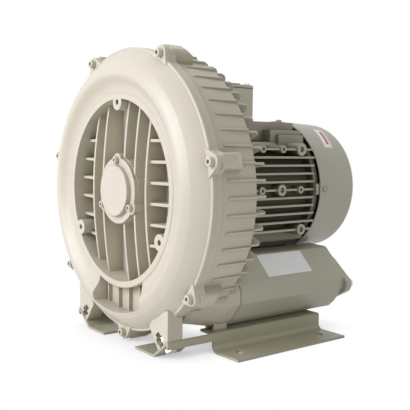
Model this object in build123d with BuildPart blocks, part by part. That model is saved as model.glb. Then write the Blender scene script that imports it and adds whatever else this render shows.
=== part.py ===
from build123d import *
from math import cos, pi, radians, sin, sqrt, tan
import os

# Side channel blower with a flanged motor, two silencers and sheet metal feet.
# Millimetres. +Z is up, the cover faces -Y and the motor points along +Y.
# The origin is the middle of the four floor holes. "Depth" is the distance
# behind the datum plane at the front face of the cover's rim screws.

# ---------------------------------------------------------------- driving sizes
shaft_height = 192.0            # floor to shaft axis
floor_hole_pitch_x = 260.0
floor_hole_pitch_y = 136.0
floor_hole_r = 6.0
front_hole_depth = 90.0         # datum plane to the front pair of floor holes

# Fits
seat_gap = 0.05                 # between a piece and the seat it is pressed or slid into
running_gap = 0.05              # balls in their races and similar
thread_gap = 0.1                # screw shank in its tapped hole
screw_clearance = 0.35          # screw shank in a plain hole

# Side channel and impeller
channel_mid_r = 144.0
channel_r = 21.5
channel_wall = 5.0
cover_channel_depth = 12.5      # middle of the channel's front half
joint_depth = 13.5              # face between cover and housing
impeller_width = 32.0
impeller_gap = 0.8              # running gap beside and round the blades
blade_count = 46
blade_t = 3.0
port_arc_half = 25.0            # channel ends this far from bottom centre, degrees
cover_arc_half = 31.0           # the same for the front half, clear of the window

# Cover
rim_r = 175.8
rim_t = 6.0
rim_screw_circle_r = 180.0
rim_screw_count = 7
rim_lug_r = 9.0
rim_lug_t = 7.5
bulge_crest_r = 143.0
bulge_crest_depth = -14.2
bulge_crease_r = 157.6          # where the crest turns into the straighter outer flank
bulge_crease_depth = -8.3
bulge_foot_r = 171.0
bulge_foot_depth = 5.0
recess_r = 113.0
recess_ring_t = 5.0
recess_ring_depth = -5.0
recess_floor_depth = 26.0
recess_floor_t = 5.0
rib_t = 3.6
rib_pitch = 24.8
rib_depth_middle = -3.0
rib_depth_edge = 6.0
tapped_boss_circle_r = 109.0
tapped_boss_r = 10.0
tapped_hole_r = 3.4
tapped_hole_deep = 16.0
hub_r = 42.0
hub_screw_circle_r = 38.0
window_r = 150.8                # outer radius of the bottom window
window_floor_depth = 10.0
window_left_floor_x = 41.0      # half widths of the window at its floor and at the crest
window_left_crest_x = 44.5
window_right_floor_x = 47.0
window_right_crest_x = 68.0
window_rib_h = 5.0

# Housing
band_front_r = 174.0
band_rear_r = 172.2
band_rear_depth = 73.0
housing_flange_t = 7.5
fin_count = 56
fin_t = 2.8
fin_tip_r = 169.5
fin_rear_depth = 95.0
fin_corner_r = 9.0
ridge_r = 175.0
ridge_front_depth = 28.0
screw_boss_depth = 45.0
motor_joint_depth = 97.0
motor_tube_r = 84.0
motor_tube_wall = 8.0

# Motor
frame_bore_r = 68.0
frame_core_r = 75.0
frame_rear_depth = 255.0
frame_fin_reach = 88.0
frame_fin_t = 2.8
frame_fin_pitch = 10.8
frame_fin_rows = 5              # fins above and below the middle one
frame_top = 91.0                # height of the terminal box platform over the shaft
stator_len = 110.0
stator_front_depth = 120.0
stator_inner_r = 41.0
air_gap = 0.5
end_shield_t = 9.0
tie_bolt_circle_r = 80.0
tie_bolt_r = 3.0

# Bearings (outer radius, bore radius, width) and ball layout
bearing_outer_r = 26.0
bearing_bore_r = 12.5
bearing_width = 15.0
ball_r = 3.95
ball_count = 9
front_bearing_depth = 3.0
rear_bearing_depth = 243.0

# Fan and cowl
cowl_front_depth = 261.0
cowl_rear_depth = 337.6
cowl_front_r = 94.7
cowl_rear_r = 91.6
cowl_wall = 1.6
cowl_corner_r = 9.0
cowl_screw_depth = 270.0
fan_r = 80.0
fan_blade_count = 7
fan_front_depth = 277.0
fan_width = 34.0

# Terminal box
box_half_x = 50.0
box_front_depth = 101.0
box_rear_depth = 177.0
box_top = 133.0                 # over the shaft axis
box_wall = 3.5
lid_t = 3.5
lid_panel_h = 2.0
box_gasket_t = 1.0

# Silencers
silencer_x = 73.0
silencer_z = -122.0             # below the shaft axis
silencer_rear_depth = 284.0
silencer_wall = 4.0
silencer_gasket_t = 1.0
duct_r = 26.0
screen_t = 1.5
lining_t = 7.0
port_flange_t = 12.0
port_flange_r = 44.0
port_thread_r = 28.3
port_ear_offset = 41.0
port_ear_r = 13.0

# Feet
sheet_t = 3.0
foot_web_x = 108.0              # outer face of the web
foot_top = 24.0                 # height of the top flange over the floor
foot_tip_x = 154.0
foot_front_depth = -1.0
foot_tab_rear_depth = 38.0
foot_notch_depth = 66.0
foot_rear_depth = 250.0
foot_inner_x = 38.0
foot_bend_r = 10.0
foot_slope = 37.0               # slope of the front tab, degrees
foot_bolt_r = 4.0

# ---------------------------------------------------------------- derived places
face_y = -(front_hole_depth + floor_hole_pitch_y / 2)
shaft_axis = Axis((0, face_y, shaft_height), (0, 1, 0))
channel_outer_r = channel_r + channel_wall
chamber_r = channel_mid_r + channel_r
chamber_rear_depth = joint_depth + impeller_width + 2 * impeller_gap
housing_channel_depth = chamber_rear_depth + 3.0
housing_back_depth = housing_channel_depth + channel_outer_r
dish_r = recess_r + recess_ring_t
dish_back_depth = recess_floor_depth + recess_floor_t
rim_front_depth = joint_depth - rim_t
lug_face_depth = joint_depth - rim_lug_t
dish_back_r = dish_r - 1.0
lip_r = dish_r + 3.0
cowl_slope = (cowl_front_r - cowl_rear_r) / (cowl_rear_depth - cowl_corner_r - cowl_front_depth)


def across(depth):
    """Plane square to the shaft at a depth: x to the right, y up, seen from the front."""
    return Plane(origin=(0, face_y + depth, shaft_height), x_dir=(1, 0, 0), z_dir=(0, -1, 0))


def axial(angle=90.0):
    """Plane through the shaft axis: x is the depth, y the radius at this angle."""
    a = radians(angle)
    origin = (0, face_y, shaft_height)
    return Plane(origin=origin, x_dir=(0, 1, 0), z_dir=(sin(a), 0, -cos(a)))


def ring(inner_r, outer_r, front, rear):
    """A turned ring or disc about the shaft, between two depths."""
    with BuildPart() as turned:
        with BuildSketch(across(front)):
            Circle(outer_r)
            if inner_r > 0:
                Circle(inner_r, mode=Mode.SUBTRACT)
        extrude(amount=front - rear)
    return turned.part


def turned(points, angle=90.0, arc=360.0):
    """A closed outline of (depth, radius) points turned about the shaft."""
    with BuildPart() as shape:
        with BuildSketch(axial(angle)):
            with BuildLine():
                Polyline(*points, close=True)
            make_face()
        revolve(axis=shaft_axis, revolution_arc=arc)
    return shape.part


def screw(shank_r, length, head_r, head_h, socket_r):
    """Socket head cap screw along -Z, with the head's underside at the origin."""
    with BuildPart() as body:
        with BuildSketch():
            Circle(head_r)
        extrude(amount=head_h)
        chamfer(body.faces().sort_by(Axis.Z)[-1].edges(), head_r * 0.1)
        with BuildSketch(Plane.XY.offset(head_h)):
            RegularPolygon(socket_r, 6)
        extrude(amount=-head_h * 0.6, mode=Mode.SUBTRACT)
        with BuildSketch():
            Circle(shank_r)
        extrude(amount=-length)
    return body.part


def finish(piece, name):
    piece.part.label = name
    export_step(piece.part, f"parts/{name}.step")


os.makedirs("parts", exist_ok=True)


# ================================================================ front cover
# Foot lug under the cover: outer side upright, bottom square to the sloping foot tab.
tab_angle = radians(foot_slope)
lug_run = 24.0
lug_height = 32.0               # square to its bottom, along the inner edge
lug_side_x = foot_web_x - 2.0
lug_bottom = foot_top - shaft_height
lug_inner_x = lug_side_x - lug_run * cos(tab_angle)
lug_inner_z = lug_bottom - lug_run * sin(tab_angle)
cover_lug_rear_depth = joint_depth + housing_flange_t
nut_af = 13.0
nut_t = 6.5
nut_slot_gap = 0.3
nut_lift = 5.0                  # nut above the lug's bottom face
cover_bolt_depth = 10.0
cover_bolt_run = 14.0           # down the lug's sloping bottom from its outer edge
rib_rows = range(-3, 3)


def tab_plane(side, depth):
    """On the sloping underside of a cover lug: x runs rearwards, normal points into the lug."""
    x = side * (lug_side_x - cover_bolt_run * cos(tab_angle))
    z = shaft_height + lug_bottom - cover_bolt_run * sin(tab_angle)
    normal = (-side * sin(tab_angle), 0, cos(tab_angle))
    return Plane(origin=(x, face_y + depth, z), x_dir=(0, 1, 0), z_dir=normal)


def recess_reach(offset):
    """Distance from the shaft axis to the recess wall along a rib at this offset."""
    return sqrt((recess_r + recess_ring_t / 2) ** 2 - offset ** 2)


def upright_ribs():
    """Six upright ribs; the front edge of each bows back towards the recess wall."""
    back = recess_floor_depth + 1
    with BuildPart() as ribs:
        for row in rib_rows:
            x = (row + 0.5) * rib_pitch
            reach = recess_reach(x)
            side_view = Plane(origin=(x, face_y, shaft_height), x_dir=(0, 1, 0), z_dir=(1, 0, 0))
            with BuildSketch(side_view):
                with BuildLine():
                    Line((back, -reach), (rib_depth_edge, -reach))
                    ThreePointArc((rib_depth_edge, -reach), (rib_depth_middle, 0), (rib_depth_edge, reach))
                    Line((rib_depth_edge, reach), (back, reach))
                    Line((back, reach), (back, -reach))
                make_face()
            extrude(amount=rib_t / 2, both=True)
    return ribs.part


def level_ribs():
    """Short level ribs from the outermost upright ribs to the recess wall."""
    back = recess_floor_depth + 1
    start_x = 2.5 * rib_pitch
    with BuildPart() as ribs:
        for row in rib_rows:
            z = (row + 0.5) * rib_pitch
            reach = recess_reach(z)
            top_view = Plane(origin=(0, face_y, shaft_height + z), x_dir=(1, 0, 0), z_dir=(0, 0, 1))
            with BuildSketch(top_view):
                for side in (-1, 1):
                    with BuildLine():
                        Polyline((side * start_x, back), (side * start_x, rib_depth_edge / 3),
                                 (side * reach, rib_depth_edge + 3), (side * reach, back), close=True)
                    make_face()
            extrude(amount=rib_t / 2, both=True)
    return ribs.part


def rim_lugs(front, rear):
    """Rounded wedges that carry the rim screws, between two depths."""
    with BuildSketch() as wedge:
        with Locations((rim_screw_circle_r, 0)):
            Circle(rim_lug_r)
        with Locations((rim_r - 8, 0)):
            Rectangle(2, 4 * rim_lug_r)
        make_hull()
    with BuildPart() as lugs:
        with BuildSketch(across(front)):
            with PolarLocations(0, rim_screw_count, start_angle=-90):
                add(wedge.sketch)
        extrude(amount=front - rear)
    return lugs.part


def cover_foot_lugs():
    with BuildPart() as lugs:
        with BuildSketch(across(0)):
            for side in (-1, 1):
                with BuildLine():
                    Polyline((side * 80, -140), (side * lug_side_x, -132), (side * lug_side_x, lug_bottom),
                             (side * lug_inner_x, lug_inner_z),
                             (side * (lug_inner_x - lug_height * sin(tab_angle)),
                              lug_inner_z + lug_height * cos(tab_angle)), close=True)
                make_face()
        extrude(amount=-cover_lug_rear_depth)
        # The lug reaches back beside the housing flange
        add(ring(0, rim_r + seat_gap * 4, joint_depth, cover_lug_rear_depth + 1), mode=Mode.SUBTRACT)
    return lugs.part


def bottom_window():
    """Pocket cut into the bulge at the bottom, with a steep left end and a sloping right end."""
    front = bulge_crest_depth - 1
    with BuildPart() as pocket:
        add(ring(lip_r, window_r, front, window_floor_depth))
        with BuildSketch(Plane(origin=(0, face_y, shaft_height), x_dir=(1, 0, 0), z_dir=(0, 0, 1))):
            with BuildLine():
                Polyline((-window_left_floor_x, window_floor_depth), (-window_left_crest_x, front),
                         (window_right_crest_x, front), (window_right_floor_x, window_floor_depth),
                         close=True)
            make_face()
        extrude(amount=-window_r - 1, mode=Mode.INTERSECT)
    return pocket.part


def nut_slot_cut(plane, mouth):
    """Open-ended slot for a nut and its bolt, from the bolt towards -x of the plane."""
    nut_half = nut_af / 2 + nut_slot_gap
    nut_corner = nut_af / sqrt(3) + nut_slot_gap
    with BuildPart() as cut:
        with BuildSketch(plane.offset(nut_lift)):
            with Locations(((nut_corner - mouth) / 2, 0)):
                Rectangle(nut_corner + mouth, 2 * nut_half)
        extrude(amount=nut_t + 2 * nut_slot_gap)
        with BuildSketch(plane.offset(-1)):
            with Locations(((foot_bolt_r + screw_clearance - mouth) / 2, 0)):
                Rectangle(foot_bolt_r + screw_clearance + mouth, 2 * (foot_bolt_r + screw_clearance))
        extrude(amount=nut_lift + nut_t + 7)
    return cut.part


hub_lobe_r = 8.5
cap_screw_r = 2.5
seal_front_depth = front_bearing_depth + bearing_width + 3.0
seal_width = 7.0
seal_outer_r = 24.0
sleeve_r = 17.5
ring_boss_angles = (90, 210, 330)

with BuildPart() as front_cover:
    # Flange with its dished centre
    add(turned([(rim_front_depth, 0), (rim_front_depth, rim_r - 1), (rim_front_depth + 1, rim_r),
                (joint_depth, rim_r), (joint_depth, dish_back_r), (dish_back_depth, dish_back_r),
                (dish_back_depth, 0)]))
    # Side channel bulge: a valley outside the lip, a rounded crest and a straighter outer flank
    valley = (recess_ring_depth + 1, lip_r)
    crest = (bulge_crest_depth, bulge_crest_r)
    crease = (bulge_crease_depth, bulge_crease_r)
    foot_of_bulge = (bulge_foot_depth, bulge_foot_r)
    with BuildSketch(axial()):
        with BuildLine():
            Spline(valley, crest, crease, tangents=((-0.1, 1), (0.65, 1)))
            ThreePointArc(crease, ((bulge_crease_depth + bulge_foot_depth) / 2 - 0.4,
                                   (bulge_crease_r + bulge_foot_r) / 2 + 0.4), foot_of_bulge)
            Polyline(foot_of_bulge, (rim_front_depth, bulge_foot_r + 2), (joint_depth, bulge_foot_r + 2),
                     (joint_depth, dish_r), (recess_ring_depth + 1, dish_r), valley)
        make_face()
    revolve(axis=shaft_axis)
    # Ring round the recess
    add(turned([(joint_depth, lip_r), (recess_ring_depth + 1, lip_r), (recess_ring_depth, lip_r - 1.2),
                (recess_ring_depth, recess_r - 1), (joint_depth, recess_r - 1)]))
    add(bottom_window(), mode=Mode.SUBTRACT)
    add(rim_lugs(lug_face_depth, joint_depth))
    add(cover_foot_lugs())
    add(ring(0, recess_r, bulge_crest_depth - 1, recess_floor_depth), mode=Mode.SUBTRACT)
    # Ribs and bosses standing on the recess floor
    add(upright_ribs())
    add(level_ribs())
    with BuildSketch(across(recess_ring_depth)):
        for angle in ring_boss_angles:
            with PolarLocations(tapped_boss_circle_r, 1, start_angle=angle):
                Circle(tapped_boss_r)
    extrude(amount=recess_ring_depth - recess_floor_depth)
    add(ring(dish_back_r, dish_r + tapped_boss_r, joint_depth, dish_back_depth + 1), mode=Mode.SUBTRACT)
    with BuildSketch(across(0)):
        Circle(hub_r)
        with PolarLocations(hub_screw_circle_r, 3, start_angle=90):
            Circle(hub_lobe_r)
    extrude(amount=-dish_back_depth)
    with BuildSketch(across(0)):
        Circle(hub_r + 1)
        with PolarLocations(hub_screw_circle_r, 3, start_angle=90):
            Circle(hub_lobe_r + 1)
    extrude(amount=10, mode=Mode.SUBTRACT)
    # Low ribs across the bottom window
    with BuildSketch(across(window_floor_depth - window_rib_h)):
        for column in (-1.5, -0.5, 0.5, 1.5):
            with Locations((column * rib_pitch, -(dish_r + window_r) / 2)):
                Rectangle(rib_t * 0.8, window_r - dish_r + 4)
    extrude(amount=-window_rib_h - 2)
    # Side channel
    with BuildSketch(axial(270 - cover_arc_half)):
        with Locations((cover_channel_depth, channel_mid_r)):
            Circle(channel_r)
        with Locations(((cover_channel_depth + joint_depth + 1) / 2, channel_mid_r)):
            Rectangle(joint_depth + 1 - cover_channel_depth, 2 * channel_r)
        with Locations((joint_depth + 1 + channel_r, channel_mid_r)):
            Rectangle(2 * channel_r, 2 * channel_r + 1, mode=Mode.SUBTRACT)
    revolve(axis=shaft_axis, revolution_arc=360 - 2 * cover_arc_half, mode=Mode.SUBTRACT)
    # Bearing seat, shoulder and seal seat in the hub
    add(turned([(-1, 0), (-1, bearing_outer_r + seat_gap),
                (front_bearing_depth + bearing_width, bearing_outer_r + seat_gap),
                (front_bearing_depth + bearing_width, sleeve_r + 2),
                (seal_front_depth, sleeve_r + 2), (seal_front_depth, seal_outer_r + seat_gap),
                (seal_front_depth + seal_width, seal_outer_r + seat_gap),
                (dish_back_depth + 1, seal_outer_r + seat_gap), (dish_back_depth + 1, 0)]),
        mode=Mode.SUBTRACT)
    # Screw holes: rim, bearing cap and the three tapped bosses
    with BuildSketch(across(lug_face_depth - 1)):
        with PolarLocations(rim_screw_circle_r, rim_screw_count, start_angle=-90):
            Circle(3 + screw_clearance)
    extrude(amount=-rim_lug_t - 2, mode=Mode.SUBTRACT)
    with BuildSketch(across(-1)):
        with PolarLocations(hub_screw_circle_r, 3, start_angle=90):
            Circle(cap_screw_r + thread_gap)
    extrude(amount=-14, mode=Mode.SUBTRACT)
    with BuildSketch(across(recess_ring_depth - 1)):
        for angle in ring_boss_angles:
            with PolarLocations(tapped_boss_circle_r, 1, start_angle=angle):
                Circle(tapped_hole_r)
    extrude(amount=-tapped_hole_deep - 1, mode=Mode.SUBTRACT)
    for side in (-1, 1):
        add(nut_slot_cut(tab_plane(side, cover_bolt_depth), cover_bolt_depth + 1), mode=Mode.SUBTRACT)
finish(front_cover, "front_cover")

# ================================================================ housing
block_outline = [(52, -80), (86, -81.5), (116, -111), (120.5, -118), (120.5, -134), (103, -157),
                 (94, -165), (58, -167), (36, -152), (29, -126), (33, -100)]
block_fillet_r = 6.0


def port_outline(side, scale=1.0, about=(72.0, -120.0)):
    """Outline of a silencer and its port block, in the plane across the shaft."""
    with BuildSketch() as outline:
        with BuildLine():
            Polyline(*[(side * (about[0] + (x - about[0]) * scale), about[1] + (z - about[1]) * scale)
                       for x, z in block_outline], close=True)
        make_face()
        fillet(outline.vertices(), block_fillet_r * scale)
    return outline.sketch


port_block_front_depth = 30.0
port_block_full_depth = 80.0


def port_blocks():
    """Blocks at the lower left and right that grow from the band to the silencer faces."""
    with BuildPart() as blocks:
        for side in (-1, 1):
            with BuildSketch(across(port_block_front_depth)):
                add(port_outline(side, 0.8, (66.0, -112.0)))
            with BuildSketch(across(port_block_full_depth)):
                add(port_outline(side))
            loft(ruled=True)
            with BuildSketch(across(port_block_full_depth)):
                add(port_outline(side))
            extrude(amount=port_block_full_depth - motor_joint_depth)
    return blocks.part


def fin():
    """One cooling fin: a low ridge along the band, then a tall plate behind the side channel."""
    with BuildPart() as plate:
        with BuildSketch(axial()):
            with BuildLine():
                Polyline((ridge_front_depth, chamber_r + 2), (ridge_front_depth + 3, ridge_r),
                         (band_rear_depth - 1, ridge_r), (band_rear_depth + 3, fin_tip_r),
                         (fin_rear_depth - fin_corner_r, fin_tip_r))
                JernArc((fin_rear_depth - fin_corner_r, fin_tip_r), (1, 0), fin_corner_r, -90)
                Polyline((fin_rear_depth, fin_tip_r - fin_corner_r), (fin_rear_depth, motor_tube_r - 4),
                         (housing_channel_depth, motor_tube_r - 4), (housing_channel_depth, chamber_r + 2),
                         (ridge_front_depth, chamber_r + 2))
            make_face()
        extrude(amount=fin_t / 2, both=True)
    return plate.part


boss_corner_r = 4.0


def screw_bosses():
    """Housing half of the rim screw lugs: square blocks that slope into the band at the back."""
    outer_r = rim_screw_circle_r + rim_lug_r
    with BuildPart() as block:
        with BuildSketch(axial()):
            with BuildLine():
                Polyline((joint_depth, band_rear_r - 6), (joint_depth, outer_r),
                         (screw_boss_depth - 10, outer_r), (screw_boss_depth, outer_r - 6),
                         (screw_boss_depth + 6, band_rear_r - 6), close=True)
            make_face()
        extrude(amount=rim_lug_r, both=True)
        fillet(block.edges().filter_by(Axis.Y).group_by(Axis.Z)[-1], boss_corner_r)
    with BuildPart() as bosses:
        add(rim_lugs(joint_depth, joint_depth + housing_flange_t))
        add([block.part.rotate(shaft_axis, 180 + i * 360 / rim_screw_count) for i in range(rim_screw_count)])
    return bosses.part


rear_lug_x = 90.0
rear_lug_front_depth = 74.0
rear_lug_rear_depth = 94.0
rear_bolt_depth = 84.0
rear_lug_half = 8.5


def lug_floor(side, depth):
    """On the level underside of a housing lug: x runs rearwards, normal points up."""
    return Plane(origin=(side * rear_lug_x, face_y + depth, foot_top), x_dir=(0, 1, 0), z_dir=(0, 0, 1))


shaft_shoulder_r = 17.0
housing_hub_r = 36.0
housing_hub_depth = 64.0
rear_seal_r = 26.0
rear_seal_front_depth = housing_hub_depth - 8.0
rear_seal_width = 7.0

with BuildPart() as housing:
    add(turned([(joint_depth, 0), (joint_depth, rim_r), (joint_depth + housing_flange_t, rim_r),
                (joint_depth + housing_flange_t + 1.5, band_front_r), (band_rear_depth, band_rear_r),
                (housing_back_depth, channel_mid_r + 17), (housing_back_depth, channel_mid_r - 15),
                (housing_channel_depth + 6, motor_tube_r + 12), (housing_channel_depth + 6, motor_tube_r),
                (motor_joint_depth, motor_tube_r), (motor_joint_depth, 0)]))
    add([fin().rotate(shaft_axis, i * 360 / fin_count) for i in range(fin_count)])
    add(screw_bosses())
    add(port_blocks())
    for side in (-1, 1):
        with BuildSketch(lug_floor(side, (rear_lug_front_depth + rear_lug_rear_depth) / 2)):
            Rectangle(rear_lug_rear_depth - rear_lug_front_depth, 2 * rear_lug_half)
        extrude(amount=22)
        add(nut_slot_cut(lug_floor(side, rear_bolt_depth), rear_bolt_depth - rear_lug_front_depth + 1),
            mode=Mode.SUBTRACT)
    # Impeller chamber
    add(ring(0, chamber_r, joint_depth - 1, chamber_rear_depth), mode=Mode.SUBTRACT)
    # Side channel between the two ports
    with BuildSketch(axial(270 - port_arc_half)):
        with Locations((housing_channel_depth, channel_mid_r)):
            Circle(channel_r)
        with Locations((housing_channel_depth - 3, channel_mid_r)):
            Rectangle(6, 2 * channel_r)
        with Locations((chamber_rear_depth - 3 - channel_r, channel_mid_r)):
            Rectangle(2 * channel_r + 4, 2 * channel_r + 1, mode=Mode.SUBTRACT)
    revolve(axis=shaft_axis, revolution_arc=360 - 2 * port_arc_half, mode=Mode.SUBTRACT)
    # Ports from the channel back to the silencers
    with BuildSketch(across(housing_channel_depth)):
        for side in (-1, 1):
            with Locations((side * silencer_x, silencer_z)):
                Circle(duct_r - 4)
    extrude(amount=housing_channel_depth - motor_joint_depth - 1, mode=Mode.SUBTRACT)
    # Motor tube, leaving the chamber wall and its hub
    add(turned([(chamber_rear_depth + 6, housing_hub_r),
                (chamber_rear_depth + 6, motor_tube_r - motor_tube_wall),
                (motor_joint_depth + 1, motor_tube_r - motor_tube_wall), (motor_joint_depth + 1, 0),
                (housing_hub_depth, 0), (housing_hub_depth, housing_hub_r)]), mode=Mode.SUBTRACT)
    add(turned([(joint_depth, 0), (joint_depth, shaft_shoulder_r + 1), (rear_seal_front_depth,
                shaft_shoulder_r + 1), (rear_seal_front_depth, rear_seal_r + seat_gap),
                (housing_hub_depth + 1, rear_seal_r + seat_gap), (housing_hub_depth + 1, 0)]),
        mode=Mode.SUBTRACT)
    # Tapped holes for the rim screws and the motor's tie bolts
    with BuildSketch(across(joint_depth - 1)):
        with PolarLocations(rim_screw_circle_r, rim_screw_count, start_angle=-90):
            Circle(3 + thread_gap)
    extrude(amount=-21, mode=Mode.SUBTRACT)
    with BuildSketch(across(motor_joint_depth + 1)):
        with PolarLocations(tie_bolt_circle_r, 4, start_angle=45):
            Circle(tie_bolt_r + thread_gap)
    extrude(amount=19, mode=Mode.SUBTRACT)
finish(housing, "housing")

# ================================================================ cover fasteners and hub
with BuildPart(across(lug_face_depth)) as cover_screws:
    with PolarLocations(rim_screw_circle_r, rim_screw_count, start_angle=-90):
        add(screw(3.0, 22.0, 5.0, 6.0, 2.7))
finish(cover_screws, "cover_screws")

cap_flange_t = 4.5
cap_boss_r = 31.7
cap_boss_h = 6.0
cap_bore_r = 24.0

with BuildPart() as bearing_cap:
    with BuildSketch(across(0)):
        Circle(hub_r - 1)
        with PolarLocations(hub_screw_circle_r, 3, start_angle=90):
            Circle(hub_lobe_r)
    extrude(amount=cap_flange_t)
    with BuildSketch(across(-cap_flange_t)):
        Circle(cap_boss_r)
    extrude(amount=cap_boss_h)
    chamfer(bearing_cap.faces().sort_by(Axis.Y)[0].edges(), 1.0)
    with BuildSketch(across(0)):
        Circle(cap_bore_r)
    extrude(amount=cap_flange_t + cap_boss_h - 2.5, mode=Mode.SUBTRACT)
    with BuildSketch(across(0)):
        with PolarLocations(hub_screw_circle_r, 3, start_angle=90):
            Circle(cap_screw_r + screw_clearance)
    extrude(amount=cap_flange_t + cap_boss_h, mode=Mode.SUBTRACT)
finish(bearing_cap, "bearing_cap")

with BuildPart(across(-cap_flange_t)) as bearing_cap_screws:
    with PolarLocations(hub_screw_circle_r, 3, start_angle=90):
        add(screw(cap_screw_r, 16.0, 4.25, 5.0, 2.3))
finish(bearing_cap_screws, "bearing_cap_screws")

preload_inner_r = 20.5
preload_outer_r = 25.5
preload_t = 0.9
with BuildPart() as preload_washer:
    add(turned([(seat_gap, preload_inner_r), (preload_t, preload_inner_r),
                (front_bearing_depth - seat_gap, preload_outer_r),
                (front_bearing_depth - preload_t, preload_outer_r)]))
finish(preload_washer, "preload_washer")


# ================================================================ ball bearings
race_shoulder_share = 0.55
cage_width_share = 1.15
cage_half_t = 1.2
cage_pocket = 4.0


def race(front, outer):
    """Inner or outer race of a deep groove ball bearing whose front face is at a depth."""
    pitch_r = (bearing_outer_r + bearing_bore_r) / 2
    shoulder = ball_r * race_shoulder_share
    with BuildPart() as body:
        if outer:
            add(ring(pitch_r + shoulder, bearing_outer_r, front, front + bearing_width))
        else:
            add(ring(bearing_bore_r + seat_gap / 2, pitch_r - shoulder, front, front + bearing_width))
        with BuildSketch(axial()):
            with Locations((front + bearing_width / 2, pitch_r)):
                Circle(ball_r + running_gap)
        revolve(axis=shaft_axis, mode=Mode.SUBTRACT)
    return body.part


def balls(front):
    """The rolling balls of one bearing."""
    pitch_r = (bearing_outer_r + bearing_bore_r) / 2
    middle = across(front + bearing_width / 2)
    with BuildPart(middle) as body:
        with PolarLocations(pitch_r, ball_count):
            Sphere(ball_r)
    return body.part


def cage(front):
    """The cage of one bearing, a band with a pocket for each ball."""
    pitch_r = (bearing_outer_r + bearing_bore_r) / 2
    half = ball_r * cage_width_share
    middle = front + bearing_width / 2
    with BuildPart() as body:
        add(ring(pitch_r - cage_half_t, pitch_r + cage_half_t, middle - half, middle + half))
        with BuildSketch(across(middle - half - 1)):
            with PolarLocations(pitch_r, ball_count):
                Rectangle(cage_pocket, 2 * ball_r + 4 * running_gap)
        extrude(amount=-half - ball_r - 1, mode=Mode.SUBTRACT)
    return body.part


for place, front in (("front", front_bearing_depth), ("rear", rear_bearing_depth)):
    with BuildPart() as outer_race:
        add(race(front, True))
    finish(outer_race, f"{place}_bearing_outer_race")
    with BuildPart() as inner_race:
        add(race(front, False))
    finish(inner_race, f"{place}_bearing_inner_race")
    with BuildPart() as ball_set:
        add(balls(front))
    finish(ball_set, f"{place}_bearing_balls")
    with BuildPart() as ball_cage:
        add(cage(front))
    finish(ball_cage, f"{place}_bearing_cage")

# ================================================================ rotor
sleeve_rear_depth = dish_back_depth + 2.5
impeller_seat_r = 14.0
impeller_hub_rear_depth = chamber_rear_depth - impeller_gap
core_seat_r = 19.0
core_front_depth = stator_front_depth
core_rear_depth = stator_front_depth + stator_len
core_r = stator_inner_r - air_gap
end_ring_t = 8.0
fan_seat_r = 10.0
fan_hub_front_depth = fan_front_depth
fan_hub_rear_depth = fan_front_depth + fan_width - 6
shaft_rear_depth = fan_hub_rear_depth + 5.0
front_inner_face = front_bearing_depth
key_w = 8.0
key_h = 7.0
key_len = 11.0
key_sink = 4.0
key_mid_depth = (sleeve_rear_depth + impeller_hub_rear_depth) / 2
end_washer_t = 3.0
end_washer_r = 16.0
end_washer_bore_r = 4.5
end_screw_r = 4.0
end_screw_len = 20.0
# Head radius, head height and half width of the hexagon socket
m8_low_head = (6.5, 5.0, 3.4)


def key_plane():
    """Top of the key, over the middle of the impeller seat."""
    return Plane(origin=(0, face_y + key_mid_depth, shaft_height + impeller_seat_r - key_sink),
                 x_dir=(0, 1, 0), z_dir=(0, 0, 1))


with BuildPart() as shaft:
    add(turned([(front_inner_face + 0.5, 0), (front_inner_face + 0.5, bearing_bore_r - 1),
                (front_inner_face + 1.5, bearing_bore_r), (sleeve_rear_depth, bearing_bore_r),
                (sleeve_rear_depth, impeller_seat_r), (impeller_hub_rear_depth, impeller_seat_r),
                (impeller_hub_rear_depth, shaft_shoulder_r),
                (core_front_depth - end_ring_t, shaft_shoulder_r),
                (core_front_depth - end_ring_t, core_seat_r), (core_rear_depth + end_ring_t, core_seat_r),
                (core_rear_depth + end_ring_t, bearing_bore_r + 3), (rear_bearing_depth, bearing_bore_r + 3),
                (rear_bearing_depth, bearing_bore_r),
                (rear_bearing_depth + bearing_width + 8, bearing_bore_r),
                (rear_bearing_depth + bearing_width + 8, fan_seat_r), (shaft_rear_depth, fan_seat_r),
                (shaft_rear_depth, 0)]))
    # Keyway, circlip groove and the tapped hole in the front end
    with BuildSketch(key_plane()):
        Rectangle(key_len, key_w)
    extrude(amount=key_h + 1, mode=Mode.SUBTRACT)
    add(ring(fan_seat_r - 1, fan_seat_r + 1, fan_hub_rear_depth + seat_gap, fan_hub_rear_depth + 1.6),
        mode=Mode.SUBTRACT)
    with BuildSketch(across(front_inner_face)):
        Circle(end_screw_r + thread_gap)
    extrude(amount=-end_screw_len - 2, mode=Mode.SUBTRACT)
finish(shaft, "shaft")

with BuildPart() as shaft_end_washer:
    add(ring(end_washer_bore_r, end_washer_r, front_inner_face - end_washer_t, front_inner_face))
finish(shaft_end_washer, "shaft_end_washer")

with BuildPart(across(front_inner_face - end_washer_t)) as shaft_end_screw:
    with Locations((0, 0)):
        add(screw(end_screw_r, end_screw_len, *m8_low_head))
finish(shaft_end_screw, "shaft_end_screw")

with BuildPart() as spacer_sleeve:
    add(ring(bearing_bore_r + seat_gap, sleeve_r, front_bearing_depth + bearing_width, sleeve_rear_depth))
finish(spacer_sleeve, "spacer_sleeve")

impeller_front_depth = joint_depth + impeller_gap
impeller_rear_depth = impeller_front_depth + impeller_width
impeller_r = chamber_r - impeller_gap
blade_root_r = channel_mid_r - channel_r
web_mid_depth = (impeller_front_depth + impeller_rear_depth) / 2
disc_front_depth = dish_back_depth + 3.0
disc_t = 5.0
hub_front_r = 27.0
hub_step_r = 32.0
hub_rear_r = 34.0
disc_root_r = 44.0
web_root_half_t = 6.0
web_tip_half_t = 1.2

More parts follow.
